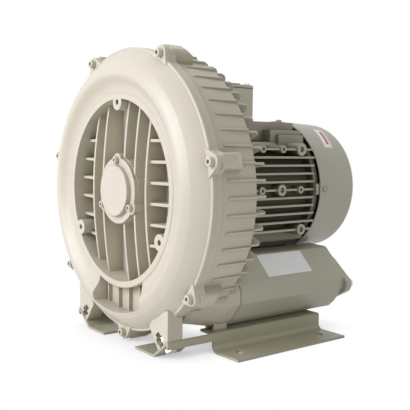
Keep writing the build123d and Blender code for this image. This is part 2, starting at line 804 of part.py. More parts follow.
with BuildPart() as impeller:
    # Hub, dished disc and the rim that carries the blades
    add(turned([(sleeve_rear_depth, impeller_seat_r + seat_gap / 2), (sleeve_rear_depth, hub_front_r),
                (disc_front_depth + 6, hub_step_r), (disc_front_depth + 1.5, disc_root_r),
                (disc_front_depth + 1.5, dish_back_r + 1.2), (impeller_front_depth, dish_back_r + 1.2),
                (impeller_front_depth, blade_root_r), (impeller_rear_depth, blade_root_r),
                (impeller_rear_depth, blade_root_r - 4),
                (disc_front_depth + 1.5 + disc_t, blade_root_r - 10),
                (disc_front_depth + 1.5 + disc_t, disc_root_r), (impeller_hub_rear_depth, hub_rear_r),
                (impeller_hub_rear_depth, impeller_seat_r + seat_gap / 2)]))
    # Dividing web, thinning towards the blade tips
    add(turned([(web_mid_depth - web_root_half_t, blade_root_r - 0.5),
                (web_mid_depth - web_tip_half_t, channel_mid_r - 5),
                (web_mid_depth - web_tip_half_t, impeller_r - 3),
                (web_mid_depth + web_tip_half_t, impeller_r - 3),
                (web_mid_depth + web_tip_half_t, channel_mid_r - 5),
                (web_mid_depth + web_root_half_t, blade_root_r - 0.5)]))
    with BuildSketch(across(impeller_front_depth)):
        with PolarLocations((blade_root_r + impeller_r) / 2 - 0.5, blade_count):
            Rectangle(impeller_r - blade_root_r + 1, blade_t)
    extrude(amount=-impeller_width)
    add(ring(impeller_r, impeller_r + 5, impeller_front_depth - 1, impeller_rear_depth + 1),
        mode=Mode.SUBTRACT)
    with BuildSketch(key_plane()):
        Rectangle(2 * key_len, key_w)
    extrude(amount=key_h + seat_gap, mode=Mode.SUBTRACT)
finish(impeller, "impeller")

with BuildPart() as impeller_key:
    with BuildSketch(key_plane()):
        Rectangle(key_len - 0.1, key_w - 0.1)
    extrude(amount=key_h)
finish(impeller_key, "impeller_key")

with BuildPart() as front_seal:
    add(ring(sleeve_r + running_gap, seal_outer_r, seal_front_depth, seal_front_depth + seal_width))
finish(front_seal, "front_seal")

with BuildPart() as rear_seal:
    add(ring(shaft_shoulder_r + running_gap, rear_seal_r, rear_seal_front_depth,
             rear_seal_front_depth + rear_seal_width))
finish(rear_seal, "rear_seal")

with BuildPart() as rotor_core:
    add(ring(core_seat_r + seat_gap / 2, core_r, core_front_depth, core_rear_depth))
    add(ring(core_seat_r + 8, core_r - 3, core_front_depth - end_ring_t + 0.5, core_front_depth))
    add(ring(core_seat_r + 8, core_r - 3, core_rear_depth, core_rear_depth + end_ring_t - 0.5))
finish(rotor_core, "rotor_core")

# ================================================================ stator and motor frame
with BuildPart() as stator_core:
    add(ring(stator_inner_r, frame_bore_r - seat_gap, stator_front_depth, stator_front_depth + stator_len))
finish(stator_core, "stator_core")

coil_overhang = 17.0
with BuildPart() as stator_windings:
    for front, rear in ((stator_front_depth - coil_overhang, stator_front_depth),
                        (core_rear_depth, core_rear_depth + coil_overhang - 6)):
        add(turned([(front, stator_inner_r + 6), (front, frame_bore_r - 12), (front + 4, frame_bore_r - 7),
                    (rear, frame_bore_r - 7), (rear, stator_inner_r + 4)]))
finish(stator_windings, "stator_windings")

bolt_boss_r = 7.0
frame_flange_t = 6.0
frame_boss_proud = 2.0
frame_boss_len = 26.0
frame_boss_hole = 14.0
# Row of fins, depth, outer radius and hole radius of each side boss
frame_boss_spots = ((0, 158, 5.0, 2.2), (0, 193, 7.5, 3.4), (0, 228, 5.0, 2.2), (5, 194, 5.0, 2.2),
                    (5, 228, 8.5, 3.4), (5, 158, 5.0, 2.2), (-5, 230, 7.5, 3.4))
# Front depth, reach, height over the shaft, width and height of each pad beside the platform
frame_pads = ((197.0, 52.0, 70.0, 16.0, 20.0), (208.0, 58.0, 66.0, 14.0, 15.0))
cable_slot_run = 20.0
cable_slot_len = 30.0
cable_slot_width = 16.0
cable_slot_corner = 5.0
platform_half = 44.0


def frame_side_fins():
    """Level fins on both sides, their tips on an upright plane, as on a cast frame."""
    length = motor_joint_depth - frame_rear_depth
    with BuildPart() as fins:
        with BuildSketch(across(motor_joint_depth)):
            for row in range(-frame_fin_rows, frame_fin_rows + 1):
                with Locations((0, row * frame_fin_pitch)):
                    Rectangle(2 * frame_fin_reach, frame_fin_t)
            for column in range(-6, 7):
                with Locations((column * frame_fin_pitch, -frame_fin_reach / 2)):
                    Rectangle(frame_fin_t, frame_fin_reach)
        extrude(amount=length)
    return fins.part


def frame_bosses():
    """Round bosses with blind holes on the side fins, where other feet can be fitted."""
    with BuildPart() as bosses:
        for side in (-1, 1):
            for row, depth, outer, hole in frame_boss_spots:
                spot = Plane(origin=(side * (frame_fin_reach + frame_boss_proud), face_y + depth,
                                     shaft_height + row * frame_fin_pitch), x_dir=(0, side, 0),
                             z_dir=(side, 0, 0))
                with BuildSketch(spot):
                    Circle(outer)
                extrude(amount=-frame_boss_len)
                with BuildSketch(spot):
                    Circle(hole)
                extrude(amount=-frame_boss_hole, mode=Mode.SUBTRACT)
    return bosses.part


frame_outline = [(-frame_fin_reach, -62), (-50, -76), (-30, -frame_fin_reach),
                 (30, -frame_fin_reach), (50, -76), (frame_fin_reach, -62),
                 (frame_fin_reach, 60), (platform_half, frame_top), (-platform_half, frame_top),
                 (-frame_fin_reach, 60)]

with BuildPart() as motor_frame:
    add(frame_side_fins())
    with BuildSketch(across(motor_joint_depth)):
        with BuildLine():
            Polyline(*frame_outline, close=True)
        make_face()
    extrude(amount=motor_joint_depth - frame_rear_depth, mode=Mode.INTERSECT)
    add(ring(0, frame_core_r, motor_joint_depth, frame_rear_depth))
    add(ring(0, motor_tube_r, motor_joint_depth, motor_joint_depth + frame_flange_t))
    # Terminal box platform and the pads beside it
    with BuildSketch(across(motor_joint_depth)):
        with Locations((0, (frame_core_r + frame_top) / 2 - 5)):
            Rectangle(2 * platform_half, frame_top - frame_core_r + 10)
        with PolarLocations(tie_bolt_circle_r, 4, start_angle=45):
            Circle(bolt_boss_r)
    extrude(amount=motor_joint_depth - frame_rear_depth)
    for side in (-1, 1):
        for depth, reach, height, width, tall in frame_pads:
            with BuildSketch(across(depth)):
                with Locations((side * reach, height)):
                    Rectangle(width, tall)
            extrude(amount=depth - frame_rear_depth)
    add(frame_bosses())
    add(ring(0, frame_bore_r, motor_joint_depth - 1, frame_rear_depth + 1), mode=Mode.SUBTRACT)
    with BuildSketch(across(motor_joint_depth - 1)):
        with PolarLocations(tie_bolt_circle_r, 4, start_angle=45):
            Circle(tie_bolt_r + screw_clearance)
    extrude(amount=motor_joint_depth - frame_rear_depth - 2, mode=Mode.SUBTRACT)
    # Cable passage up into the terminal box
    with BuildSketch(Plane.XY.offset(shaft_height + frame_core_r - 12)):
        with Locations((0, face_y + box_front_depth + cable_slot_run)):
            RectangleRounded(cable_slot_len, cable_slot_width, cable_slot_corner)
    extrude(amount=frame_top, mode=Mode.SUBTRACT)
finish(motor_frame, "motor_frame")

shield_rear_depth = frame_rear_depth + end_shield_t
cowl_lug_r = cowl_front_r - cowl_wall - cowl_slope * (cowl_screw_depth - cowl_front_depth + 8)
bearing_box_r = bearing_outer_r + 6
shield_lug_width = 15.0
cowl_screw_r = 2.0
cowl_screw_hole = 12.0

with BuildPart() as end_shield:
    add(ring(0, frame_core_r + 12, frame_rear_depth, shield_rear_depth))
    add(ring(0, frame_bore_r - seat_gap, frame_rear_depth - 4, frame_rear_depth))
    add(ring(0, bearing_box_r, rear_bearing_depth - 2, shield_rear_depth))
    with BuildSketch(across(frame_rear_depth)):
        for turn in range(4):
            with PolarLocations(frame_core_r + 8, 1, start_angle=turn * 90):
                Rectangle(2 * (cowl_lug_r - frame_core_r - 8), shield_lug_width)
    extrude(amount=frame_rear_depth - cowl_screw_depth - 6)
    add(ring(cowl_lug_r - seat_gap, cowl_lug_r + 20, frame_rear_depth - 1, cowl_screw_depth + 8),
        mode=Mode.SUBTRACT)
    add(ring(0, bearing_outer_r + seat_gap, rear_bearing_depth - 3, rear_bearing_depth + bearing_width),
        mode=Mode.SUBTRACT)
    add(ring(0, bearing_bore_r + 1.5, rear_bearing_depth, shield_rear_depth + 1), mode=Mode.SUBTRACT)
    with BuildSketch(across(frame_rear_depth - 5)):
        with PolarLocations(tie_bolt_circle_r, 4, start_angle=45):
            Circle(tie_bolt_r + screw_clearance)
    extrude(amount=-end_shield_t - 6, mode=Mode.SUBTRACT)
    for turn in range(4):
        a = radians(90 * turn)
        lug = Plane(origin=(cowl_front_r * cos(a), face_y + cowl_screw_depth,
                            shaft_height + cowl_front_r * sin(a)), z_dir=(cos(a), 0, sin(a)))
        with BuildSketch(lug):
            Circle(cowl_screw_r + thread_gap)
        extrude(amount=-cowl_screw_hole, mode=Mode.SUBTRACT)
finish(end_shield, "end_shield")

tie_bolt_len = shield_rear_depth - motor_joint_depth + 16
tie_bolt_plane = Plane(origin=across(shield_rear_depth).origin, x_dir=(1, 0, 0), z_dir=(0, 1, 0))
with BuildPart(tie_bolt_plane) as tie_bolts:
    with PolarLocations(tie_bolt_circle_r, 4, start_angle=45):
        add(screw(tie_bolt_r, tie_bolt_len, 5.0, 5.0, 2.7))
finish(tie_bolts, "tie_bolts")

# ================================================================ fan and cowl
fan_plate_depth = fan_front_depth + 12.0
fan_plate_t = 3.0
fan_blade_t = 2.5
fan_hub_wall = 7.0

with BuildPart() as fan:
    add(ring(fan_seat_r + seat_gap / 2, fan_seat_r + fan_hub_wall, fan_hub_front_depth,
             fan_hub_rear_depth))
    add(ring(fan_seat_r + 6, fan_r, fan_plate_depth, fan_plate_depth + fan_plate_t))
    with BuildSketch(across(fan_plate_depth)):
        with PolarLocations((fan_seat_r + 6 + fan_r) / 2, fan_blade_count):
            Rectangle(fan_r - fan_seat_r - 6, fan_blade_t)
    extrude(amount=-(fan_width - 12))
    with BuildSketch(across(fan_front_depth)):
        with PolarLocations((fan_seat_r + 20 + fan_r) / 2, fan_blade_count):
            Rectangle(fan_r - fan_seat_r - 20, fan_blade_t)
    extrude(amount=-13)
finish(fan, "fan")

with BuildPart() as fan_circlip:
    add(ring(fan_seat_r - 1 + seat_gap, fan_seat_r + 3, fan_hub_rear_depth + seat_gap,
             fan_hub_rear_depth + 1.5))
    with BuildSketch(across(fan_hub_rear_depth)):
        with Locations((0, fan_seat_r + 2)):
            Rectangle(6, 6)
    extrude(amount=-3, mode=Mode.SUBTRACT)
finish(fan_circlip, "fan_circlip")


def cowl_section(inset):
    """Half section of the cowl, offset inwards by its wall for the inside."""
    front_r = cowl_front_r - inset
    rear_r = cowl_rear_r - inset
    back = cowl_rear_depth - inset
    corner = cowl_corner_r - inset
    front = cowl_front_depth - (1 if inset else 0)
    with BuildSketch(axial()) as section:
        with BuildLine():
            Polyline((back, 0), (front, 0), (front, front_r), (back - corner, rear_r))
            JernArc((back - corner, rear_r), (1, 0), corner, -90)
            Line((back, rear_r - corner), (back, 0))
        make_face()
    return section.sketch


grille_rings = 4
grille_inner_r = 24.0
grille_pitch = 14.0
grille_slot_half = 4.5
grille_slots = 8


def grille_ring(middle_r):
    with BuildSketch() as slot_ring:
        Circle(middle_r + grille_slot_half)
        Circle(middle_r - grille_slot_half, mode=Mode.SUBTRACT)
    return slot_ring.sketch


with BuildPart() as fan_cowl:
    revolve(cowl_section(0), axis=shaft_axis)
    revolve(cowl_section(cowl_wall), axis=shaft_axis, mode=Mode.SUBTRACT)
    # Air inlet grille: rings of curved slots in the rear face
    with BuildSketch(across(cowl_rear_depth + 1)):
        for row in range(grille_rings):
            add(grille_ring(grille_inner_r + row * grille_pitch))
        with PolarLocations(0, grille_slots, start_angle=22.5):
            with Locations((cowl_rear_r / 2, 0)):
                Rectangle(cowl_rear_r, 5, mode=Mode.SUBTRACT)
    extrude(amount=cowl_wall + 2, mode=Mode.SUBTRACT)
    for turn in range(4):
        a = radians(90 * turn)
        spot = Plane(origin=(cowl_front_r * cos(a), face_y + cowl_screw_depth,
                             shaft_height + cowl_front_r * sin(a)), z_dir=(cos(a), 0, sin(a)))
        with BuildSketch(spot.offset(5)):
            Circle(2.0 + screw_clearance)
        extrude(amount=-12, mode=Mode.SUBTRACT)
finish(fan_cowl, "fan_cowl")


def slotted_screw(shank_r, length, head_r, head_h):
    """Slotted pan head screw along -Z."""
    with BuildPart() as body:
        with BuildSketch():
            Circle(head_r)
        extrude(amount=head_h)
        chamfer(body.faces().sort_by(Axis.Z)[-1].edges(), head_h * 0.4)
        with BuildSketch(Plane.XY.offset(head_h)):
            Rectangle(2 * head_r + 1, 1.0)
        extrude(amount=-head_h * 0.45, mode=Mode.SUBTRACT)
        with BuildSketch():
            Circle(shank_r)
        extrude(amount=-length)
    return body.part


cowl_screw_r = cowl_front_r - cowl_slope * (cowl_screw_depth - 4 - cowl_front_depth)
with BuildPart() as cowl_screws:
    for turn in range(4):
        a = radians(90 * turn)
        with Locations(Plane(origin=(cowl_screw_r * cos(a), face_y + cowl_screw_depth,
                                     shaft_height + cowl_screw_r * sin(a)), z_dir=(cos(a), 0, sin(a)))):
            add(slotted_screw(2.0, 9.0, 4.2, 2.6))
finish(cowl_screws, "cowl_screws")

# ================================================================ terminal box
box_bottom = frame_top
box_mid_depth = (box_front_depth + box_rear_depth) / 2
box_len = box_rear_depth - box_front_depth
box_corner_r = 6.0
box_screw_inset = 8.0
box_screw_r = 2.5
gland_z = (box_bottom + box_top) / 2
gland_depth = box_mid_depth
gland_bore_r = 10.0
gland_thread_r = 12.5


def over_shaft(height):
    """Level plane at a height over the shaft, centred on the terminal box."""
    return Plane(origin=(0, face_y + box_mid_depth, shaft_height + height))


def box_corners():
    return GridLocations(2 * (box_half_x - box_screw_inset), box_len - 2 * box_screw_inset, 2, 2)


def gland_plane(side, x):
    return Plane(origin=(side * x, face_y + gland_depth, shaft_height + gland_z), x_dir=(0, side, 0),
                 z_dir=(side, 0, 0))


with BuildPart() as terminal_box:
    with BuildSketch(over_shaft(box_bottom)):
        RectangleRounded(2 * box_half_x, box_len, box_corner_r)
    extrude(amount=box_top - box_bottom)
    with BuildSketch(over_shaft(box_bottom + box_wall)):
        RectangleRounded(2 * (box_half_x - box_wall), box_len - 2 * box_wall, box_corner_r - box_wall / 2)
    extrude(amount=box_top, mode=Mode.SUBTRACT)
    with BuildSketch(over_shaft(box_bottom + 1)):
        with box_corners():
            Circle(6.5)
        # Two posts that carry the terminal board
        with Locations((-24, 4), (24, 4)):
            Circle(4)
    extrude(amount=box_top - box_bottom - 1)
    with BuildSketch(over_shaft(box_bottom + 14)):
        with Locations((-24, 4), (24, 4)):
            Circle(4.5)
    extrude(amount=box_top, mode=Mode.SUBTRACT)
    with BuildSketch(over_shaft(box_top + 1)):
        with box_corners():
            Circle(box_screw_r + thread_gap)
    extrude(amount=-16, mode=Mode.SUBTRACT)
    with BuildSketch(over_shaft(box_bottom - 1)):
        with Locations((0, box_front_depth + 20 - box_mid_depth)):
            RectangleRounded(30, 16, 5)
    extrude(amount=box_wall + 2, mode=Mode.SUBTRACT)
    for side in (-1, 1):
        with BuildSketch(gland_plane(side, box_half_x)):
            Circle(gland_thread_r + seat_gap)
        extrude(amount=-box_wall, mode=Mode.SUBTRACT)
finish(terminal_box, "terminal_box")

with BuildPart() as terminal_box_gasket:
    with BuildSketch(over_shaft(box_top)):
        RectangleRounded(2 * box_half_x, box_len, box_corner_r)
        RectangleRounded(2 * (box_half_x - box_wall), box_len - 2 * box_wall, box_corner_r - box_wall / 2,
                         mode=Mode.SUBTRACT)
    extrude(amount=box_gasket_t)
finish(terminal_box_gasket, "terminal_box_gasket")

with BuildPart() as terminal_box_lid:
    with BuildSketch(over_shaft(box_top + box_gasket_t)):
        RectangleRounded(2 * box_half_x, box_len, box_corner_r)
    extrude(amount=lid_t)
    with BuildSketch(over_shaft(box_top + box_gasket_t + lid_t)):
        RectangleRounded(2 * box_half_x - 34, box_len - 10, 8)
        RectangleRounded(2 * box_half_x - 10, box_len - 34, 8)
    extrude(amount=lid_panel_h)
    with BuildSketch(over_shaft(box_top + box_gasket_t - 1)):
        with box_corners():
            Circle(box_screw_r + screw_clearance)
    extrude(amount=lid_t + 6, mode=Mode.SUBTRACT)
finish(terminal_box_lid, "terminal_box_lid")

with BuildPart(over_shaft(box_top + box_gasket_t + lid_t)) as lid_screws:
    with box_corners():
        add(slotted_screw(box_screw_r, 16.0, 4.4, 3.0))
finish(lid_screws, "lid_screws")

board_bottom = box_bottom + 14.0
stud_spots = [(x, y) for y in (-3, 13) for x in (-14, 0, 14)]
with BuildPart() as terminal_board:
    with BuildSketch(over_shaft(board_bottom)):
        with Locations((0, 4)):
            RectangleRounded(62, 30, 4)
        with Locations(*stud_spots):
            Circle(2 + seat_gap, mode=Mode.SUBTRACT)
    extrude(amount=6)
finish(terminal_board, "terminal_board")

with BuildPart() as terminal_studs:
    with BuildSketch(over_shaft(board_bottom - 3)):
        with Locations(*stud_spots):
            Circle(2)
    extrude(amount=20)
    with BuildSketch(over_shaft(board_bottom + 6)):
        with Locations(*stud_spots):
            RegularPolygon(4, 6)
    extrude(amount=3)
finish(terminal_studs, "terminal_studs")

gland_collar = 14.0
with BuildPart() as cable_gland:
    with BuildSketch(gland_plane(-1, box_half_x - box_wall - 5)):
        Circle(gland_thread_r)
    extrude(amount=box_wall + 5)
    with BuildSketch(gland_plane(-1, box_half_x)):
        RegularPolygon(16.5, 6)
    extrude(amount=6)
    with BuildSketch(gland_plane(-1, box_half_x + 6)):
        Circle(14)
    extrude(amount=gland_collar - 4, taper=12)
    with BuildSketch(gland_plane(-1, box_half_x + gland_collar + 3)):
        Circle(gland_bore_r)
    extrude(amount=-box_wall - gland_collar - 9, mode=Mode.SUBTRACT)
finish(cable_gland, "cable_gland")

with BuildPart() as blanking_plug:
    with BuildSketch(gland_plane(1, box_half_x - box_wall - 4)):
        Circle(gland_thread_r)
    extrude(amount=box_wall + 4)
    with BuildSketch(gland_plane(1, box_half_x)):
        Circle(15.5)
    extrude(amount=3, taper=20)
finish(blanking_plug, "blanking_plug")

# ================================================================ silencers
silencer_front_depth = motor_joint_depth + silencer_gasket_t
port_flange_front_depth = silencer_rear_depth
port_flange_rear_depth = port_flange_front_depth + port_flange_t
screen_r = duct_r + screen_t
lining_r = screen_r + lining_t
rear_wall_t = 8.0
port_screw_r = 4.0


def silencer_spot(side):
    return Locations((side * silencer_x, silencer_z))


def ear_spots(side):
    return Locations((side * silencer_x - port_ear_offset, silencer_z - 9),
                     (side * silencer_x + port_ear_offset, silencer_z - 9))


def silencer_gasket(side):
    with BuildPart() as gasket:
        with BuildSketch(across(motor_joint_depth)):
            add(port_outline(side, 0.97))
            with silencer_spot(side):
                Circle(duct_r, mode=Mode.SUBTRACT)
        extrude(amount=-silencer_gasket_t)
    return gasket.part


def silencer_shell(side):
    with BuildPart() as shell:
        with BuildSketch(across(silencer_front_depth)):
            add(port_outline(side))
        extrude(amount=silencer_front_depth - silencer_rear_depth)
        with BuildSketch(across(silencer_front_depth)):
            with silencer_spot(side):
                Circle(lining_r + seat_gap)
        extrude(amount=silencer_front_depth - silencer_rear_depth + rear_wall_t, mode=Mode.SUBTRACT)
        with BuildSketch(across(silencer_rear_depth + 1)):
            with silencer_spot(side):
                Circle(duct_r)
            with ear_spots(side):
                Circle(port_screw_r + thread_gap)
        extrude(amount=rear_wall_t + 2, mode=Mode.SUBTRACT)
    return shell.part


def silencer_tube(side, inner, outer):
    """A tube lying in the silencer from its open end to the rear wall."""
    with BuildPart() as tube:
        with BuildSketch(across(silencer_front_depth)):
            with silencer_spot(side):
                Circle(outer)
                Circle(inner, mode=Mode.SUBTRACT)
        extrude(amount=silencer_front_depth - silencer_rear_depth + rear_wall_t)
    return tube.part


def port_flange(side):
    with BuildPart() as flange:
        with BuildSketch(across(port_flange_front_depth)):
            with silencer_spot(side):
                Circle(port_flange_r - 6)
            with ear_spots(side):
                Circle(port_ear_r)
            make_hull()
        extrude(amount=-port_flange_t)
        with BuildSketch(across(port_flange_rear_depth)):
            with silencer_spot(side):
                Circle(port_thread_r + 6)
        extrude(amount=-8, taper=2)
        with BuildSketch(across(port_flange_front_depth + 3)):
            with silencer_spot(side):
                Circle(port_thread_r)
        extrude(amount=-port_flange_t - 8, mode=Mode.SUBTRACT)
        with BuildSketch(across(port_flange_front_depth - 1)):
            with silencer_spot(side):
                Circle(duct_r)
            with ear_spots(side):
                Circle(port_screw_r + screw_clearance)
        extrude(amount=-port_flange_t - 2, mode=Mode.SUBTRACT)
    return flange.part


def port_screws(side):
    back = Plane(origin=across(port_flange_rear_depth).origin, x_dir=(1, 0, 0), z_dir=(0, 1, 0))
    with BuildPart(back) as screws:
        with Locations((side * silencer_x - port_ear_offset, 9 - silencer_z),
                       (side * silencer_x + port_ear_offset, 9 - silencer_z)):
            add(screw(port_screw_r, port_flange_t + rear_wall_t - 1, 6.5, 8.0, 3.4))
    return screws.part


for hand, side in (("left", -1), ("right", 1)):
    with BuildPart() as gasket:
        add(silencer_gasket(side))
    finish(gasket, f"silencer_gasket_{hand}")
    with BuildPart() as shell:
        add(silencer_shell(side))
    finish(shell, f"silencer_{hand}")
    with BuildPart() as screen:
        add(silencer_tube(side, duct_r, screen_r))
    finish(screen, f"silencer_screen_{hand}")
    with BuildPart() as lining:
        add(silencer_tube(side, screen_r + seat_gap, lining_r))
    finish(lining, f"silencer_lining_{hand}")
    with BuildPart() as flange:
        add(port_flange(side))
    finish(flange, f"port_flange_{hand}")
    with BuildPart() as flange_screws:
        add(port_screws(side))
    finish(flange_screws, f"port_flange_screws_{hand}")

# ================================================================ feet
def foot_front_section(side):
    """Front of a foot in cross-section: side lip, sloping tab and level floor tab."""
    top_x = lug_side_x
    low_x = top_x - (foot_top - sheet_t) / tan(tab_angle)
    outline = [(top_x, foot_top), (low_x, sheet_t), (foot_inner_x, sheet_t), (foot_inner_x, 0),
               (low_x + sheet_t * tan(tab_angle / 2), 0),
               (top_x + sheet_t * sin(tab_angle), foot_top - sheet_t * cos(tab_angle)),
               (foot_web_x, foot_top - 1.5)]
    return [(side * x, z) for x, z in outline]


def upright(depth):
    """Plane across the shaft with its y measured up from the floor."""
    return Plane(origin=(0, face_y + depth, 0), x_dir=(1, 0, 0), z_dir=(0, -1, 0))


def foot(side):
    bend_in = foot_bend_r - sheet_t
    with BuildPart() as bracket:
        # Rear: top flange, web and floor flange, bent from one sheet
        with BuildSketch(upright(foot_notch_depth)):
            with BuildLine():
                Line((side * (rear_lug_x - rear_lug_half), foot_top), (side * (foot_web_x - 2), foot_top))
                Line((side * (foot_web_x - 2), foot_top), (side * foot_web_x, foot_top - 2))
                Line((side * foot_web_x, foot_top - 2), (side * foot_web_x, foot_bend_r))
                ThreePointArc((side * foot_web_x, foot_bend_r),
                              (side * (foot_web_x + bend_in * 0.2929), sheet_t + bend_in * 0.2929),
                              (side * (foot_web_x + bend_in), sheet_t))
                Polyline((side * (foot_web_x + bend_in), sheet_t), (side * foot_tip_x, sheet_t),
                         (side * foot_tip_x, 0), (side * (foot_web_x + bend_in), 0))
                ThreePointArc((side * (foot_web_x + bend_in), 0),
                              (side * (foot_web_x - sheet_t + foot_bend_r * 0.2929), foot_bend_r * 0.2929),
                              (side * (foot_web_x - sheet_t), foot_bend_r))
                Polyline((side * (foot_web_x - sheet_t), foot_bend_r),
                         (side * (foot_web_x - sheet_t), foot_top - sheet_t),
                         (side * (rear_lug_x - rear_lug_half), foot_top - sheet_t),
                         (side * (rear_lug_x - rear_lug_half), foot_top))
            make_face()
        extrude(amount=foot_notch_depth - foot_rear_depth)
        # Front: sloping tab under the cover lug, down to the floor
        with BuildSketch(upright(foot_front_depth)):
            with BuildLine():
                Polyline(*foot_front_section(side), close=True)
            make_face()
        extrude(amount=foot_front_depth - foot_tab_rear_depth)
        # Strip that joins the two, along the top of the sloping tab
        with BuildSketch(upright(foot_tab_rear_depth)):
            with BuildLine():
                Polyline(*foot_front_section(side), close=True)
            make_face()
            with Locations((side * (foot_web_x - 18 - 60), foot_top / 2)):
                Rectangle(120, 60, mode=Mode.SUBTRACT)
        extrude(amount=foot_tab_rear_depth - foot_notch_depth)
        # Side lip along the front part
        with BuildSketch(upright(foot_front_depth)):
            with Locations((side * (foot_web_x - sheet_t / 2), foot_top - 5.5)):
                Rectangle(sheet_t, 8)
        extrude(amount=foot_front_depth - foot_notch_depth)
        # Floor holes and bolt holes
        with BuildSketch(Plane.XY.offset(-1)):
            with Locations((side * floor_hole_pitch_x / 2, -floor_hole_pitch_y / 2),
                           (side * floor_hole_pitch_x / 2, floor_hole_pitch_y / 2)):
                Circle(floor_hole_r)
        extrude(amount=sheet_t + 2, mode=Mode.SUBTRACT)
        with BuildSketch(tab_plane(side, cover_bolt_depth).offset(2)):
            Circle(foot_bolt_r + screw_clearance)
        extrude(amount=-sheet_t - 6, mode=Mode.SUBTRACT)
        with BuildSketch(lug_floor(side, rear_bolt_depth).offset(1)):
            Circle(foot_bolt_r + screw_clearance)
        extrude(amount=-sheet_t - 2, mode=Mode.SUBTRACT)
    return bracket.part


def foot_bolt():
    """Hex bolt pushed up through the foot: head under the sheet, shank through the nut."""
    with BuildPart() as bolt:
        with BuildSketch(Plane.XY.offset(-sheet_t)):
            RegularPolygon(nut_af / sqrt(3), 6)
        extrude(amount=-5.3)
        with BuildSketch(Plane.XY.offset(-sheet_t)):
            Circle(foot_bolt_r)
        extrude(amount=sheet_t + nut_lift + nut_t + 4)
    return bolt.part


def foot_nut():
    with BuildPart() as nut:
        with BuildSketch(Plane.XY.offset(nut_lift)):
            RegularPolygon(nut_af / sqrt(3), 6)
            Circle(foot_bolt_r + thread_gap, mode=Mode.SUBTRACT)
        extrude(amount=nut_t)
    return nut.part


def foot_bolt_seats():
    seats = []
    for side in (-1, 1):
        seats += [tab_plane(side, cover_bolt_depth), lug_floor(side, rear_bolt_depth)]
    return seats


for hand, side in (("left", -1), ("right", 1)):
    with BuildPart() as bracket:
        add(foot(side))
    finish(bracket, f"foot_{hand}")

with BuildPart() as foot_bolts:
    with Locations(*foot_bolt_seats()):
        add(foot_bolt())
finish(foot_bolts, "foot_bolts")

with BuildPart() as foot_nuts:
    with Locations(*foot_bolt_seats()):
        add(foot_nut())
finish(foot_nuts, "foot_nuts")
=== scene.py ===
import math

import bmesh
import bpy
from bpy.props import FloatProperty, FloatVectorProperty, PointerProperty
from mathutils import Matrix, Vector


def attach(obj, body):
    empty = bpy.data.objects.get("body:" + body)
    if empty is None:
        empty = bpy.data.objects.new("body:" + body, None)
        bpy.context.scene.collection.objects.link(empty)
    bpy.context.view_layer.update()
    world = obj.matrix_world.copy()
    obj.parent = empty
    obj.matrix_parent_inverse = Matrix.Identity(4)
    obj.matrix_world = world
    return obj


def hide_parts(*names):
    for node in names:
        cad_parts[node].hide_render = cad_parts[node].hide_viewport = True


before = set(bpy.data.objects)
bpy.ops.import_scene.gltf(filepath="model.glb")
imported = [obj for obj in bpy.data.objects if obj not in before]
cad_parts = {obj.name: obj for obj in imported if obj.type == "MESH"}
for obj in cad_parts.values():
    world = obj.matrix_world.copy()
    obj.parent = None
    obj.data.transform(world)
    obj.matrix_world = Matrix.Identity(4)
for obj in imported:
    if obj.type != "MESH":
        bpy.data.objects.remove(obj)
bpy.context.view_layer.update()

bl_info = {
    "name": "Side Channel Blower",
    "version": (1, 0, 0),
    "blender": (4, 5, 0),
    "location": "View3D > Sidebar > Blower",
    "description": "Finishes, labels and studio for a side channel blower",
    "category": "Object",
}

PI = math.pi

# In metres
SHAFT_Z = 0.192
FACE_Y = -0.158
LABEL_CORNER = 0.0012
LABEL_THICKNESS = 0.0004
STICKER_THICKNESS = 0.0003
BAR_CLEARANCE = 0.00025
SHEET_PITCH = 0.001
FLOOR_HALF = 6.0

# In millimetres, as over_shaft takes them: depth behind the cover's datum plane, z over the shaft
COWL_FRONT_DEPTH = 261.0
COWL_FRONT_R = 94.7
COWL_SLOPE = 0.046
STICKER_DEPTH = 303.5
STICKER_SKEW = -0.22
STICKER_ANGLE = math.radians(50.5)
SILENCER_SLOPE_TOP = (86.0, -81.5)
SILENCER_SLOPE_LOW = (116.0, -111.0)
LABEL_DROP = 19.4
LABEL_DEPTH = 190.5
PORT_X = 73.0
PORT_FRONT_DEPTH = 284.0
PORT_REAR_DEPTH = 296.0
PORT_EDGE_CUT = 2.0
PORT_ROUND_Z = -127.0
PORT_ROUND_R = 35.5
EAR_REACH = 41.0
EAR_Z = -131.0
EAR_R = 12.0
EAR_HOLE_R = 3.4
BORE_Z = -122.0
BORE_R = 28.3
THREAD_PITCH = 2.3
THREAD_HEIGHT = 1.2

# Steps round a screw hole, an ear and the large circles
HOLE_STEPS = 24
EAR_STEPS = 48
FINE_STEPS = 96

# Shares of the sticker that its bar takes up
BAR_WIDTH_SHARE = 0.13
BAR_LENGTH_SHARE = 0.34

# Studio: yaw, pitch and roll in degrees
CAMERA_SPOT = (0.74242, -0.60308, 0.24634)
CAMERA_ANGLES = (52.028, 4.726, 0.786)
SENSOR_WIDTH = 36.0
LIGHT_TARGET = (0.0, 0.0, 0.17)
COOL_WHITE = (1.0, 0.985, 1.12)
PLAIN_WHITE = (1.0, 1.0, 1.0)

# Samples of the nodes that look round a point
EDGE_SAMPLES = 6
FINE_EDGE_SAMPLES = 4
CORNER_SAMPLES = 6
FLOOR_SAMPLES = 12


def over_shaft(x, depth, z):
    """A point from millimetres: x, depth behind the cover's datum plane, height over the shaft."""
    return Vector((x / 1000, FACE_Y + depth / 1000, SHAFT_Z + z / 1000))


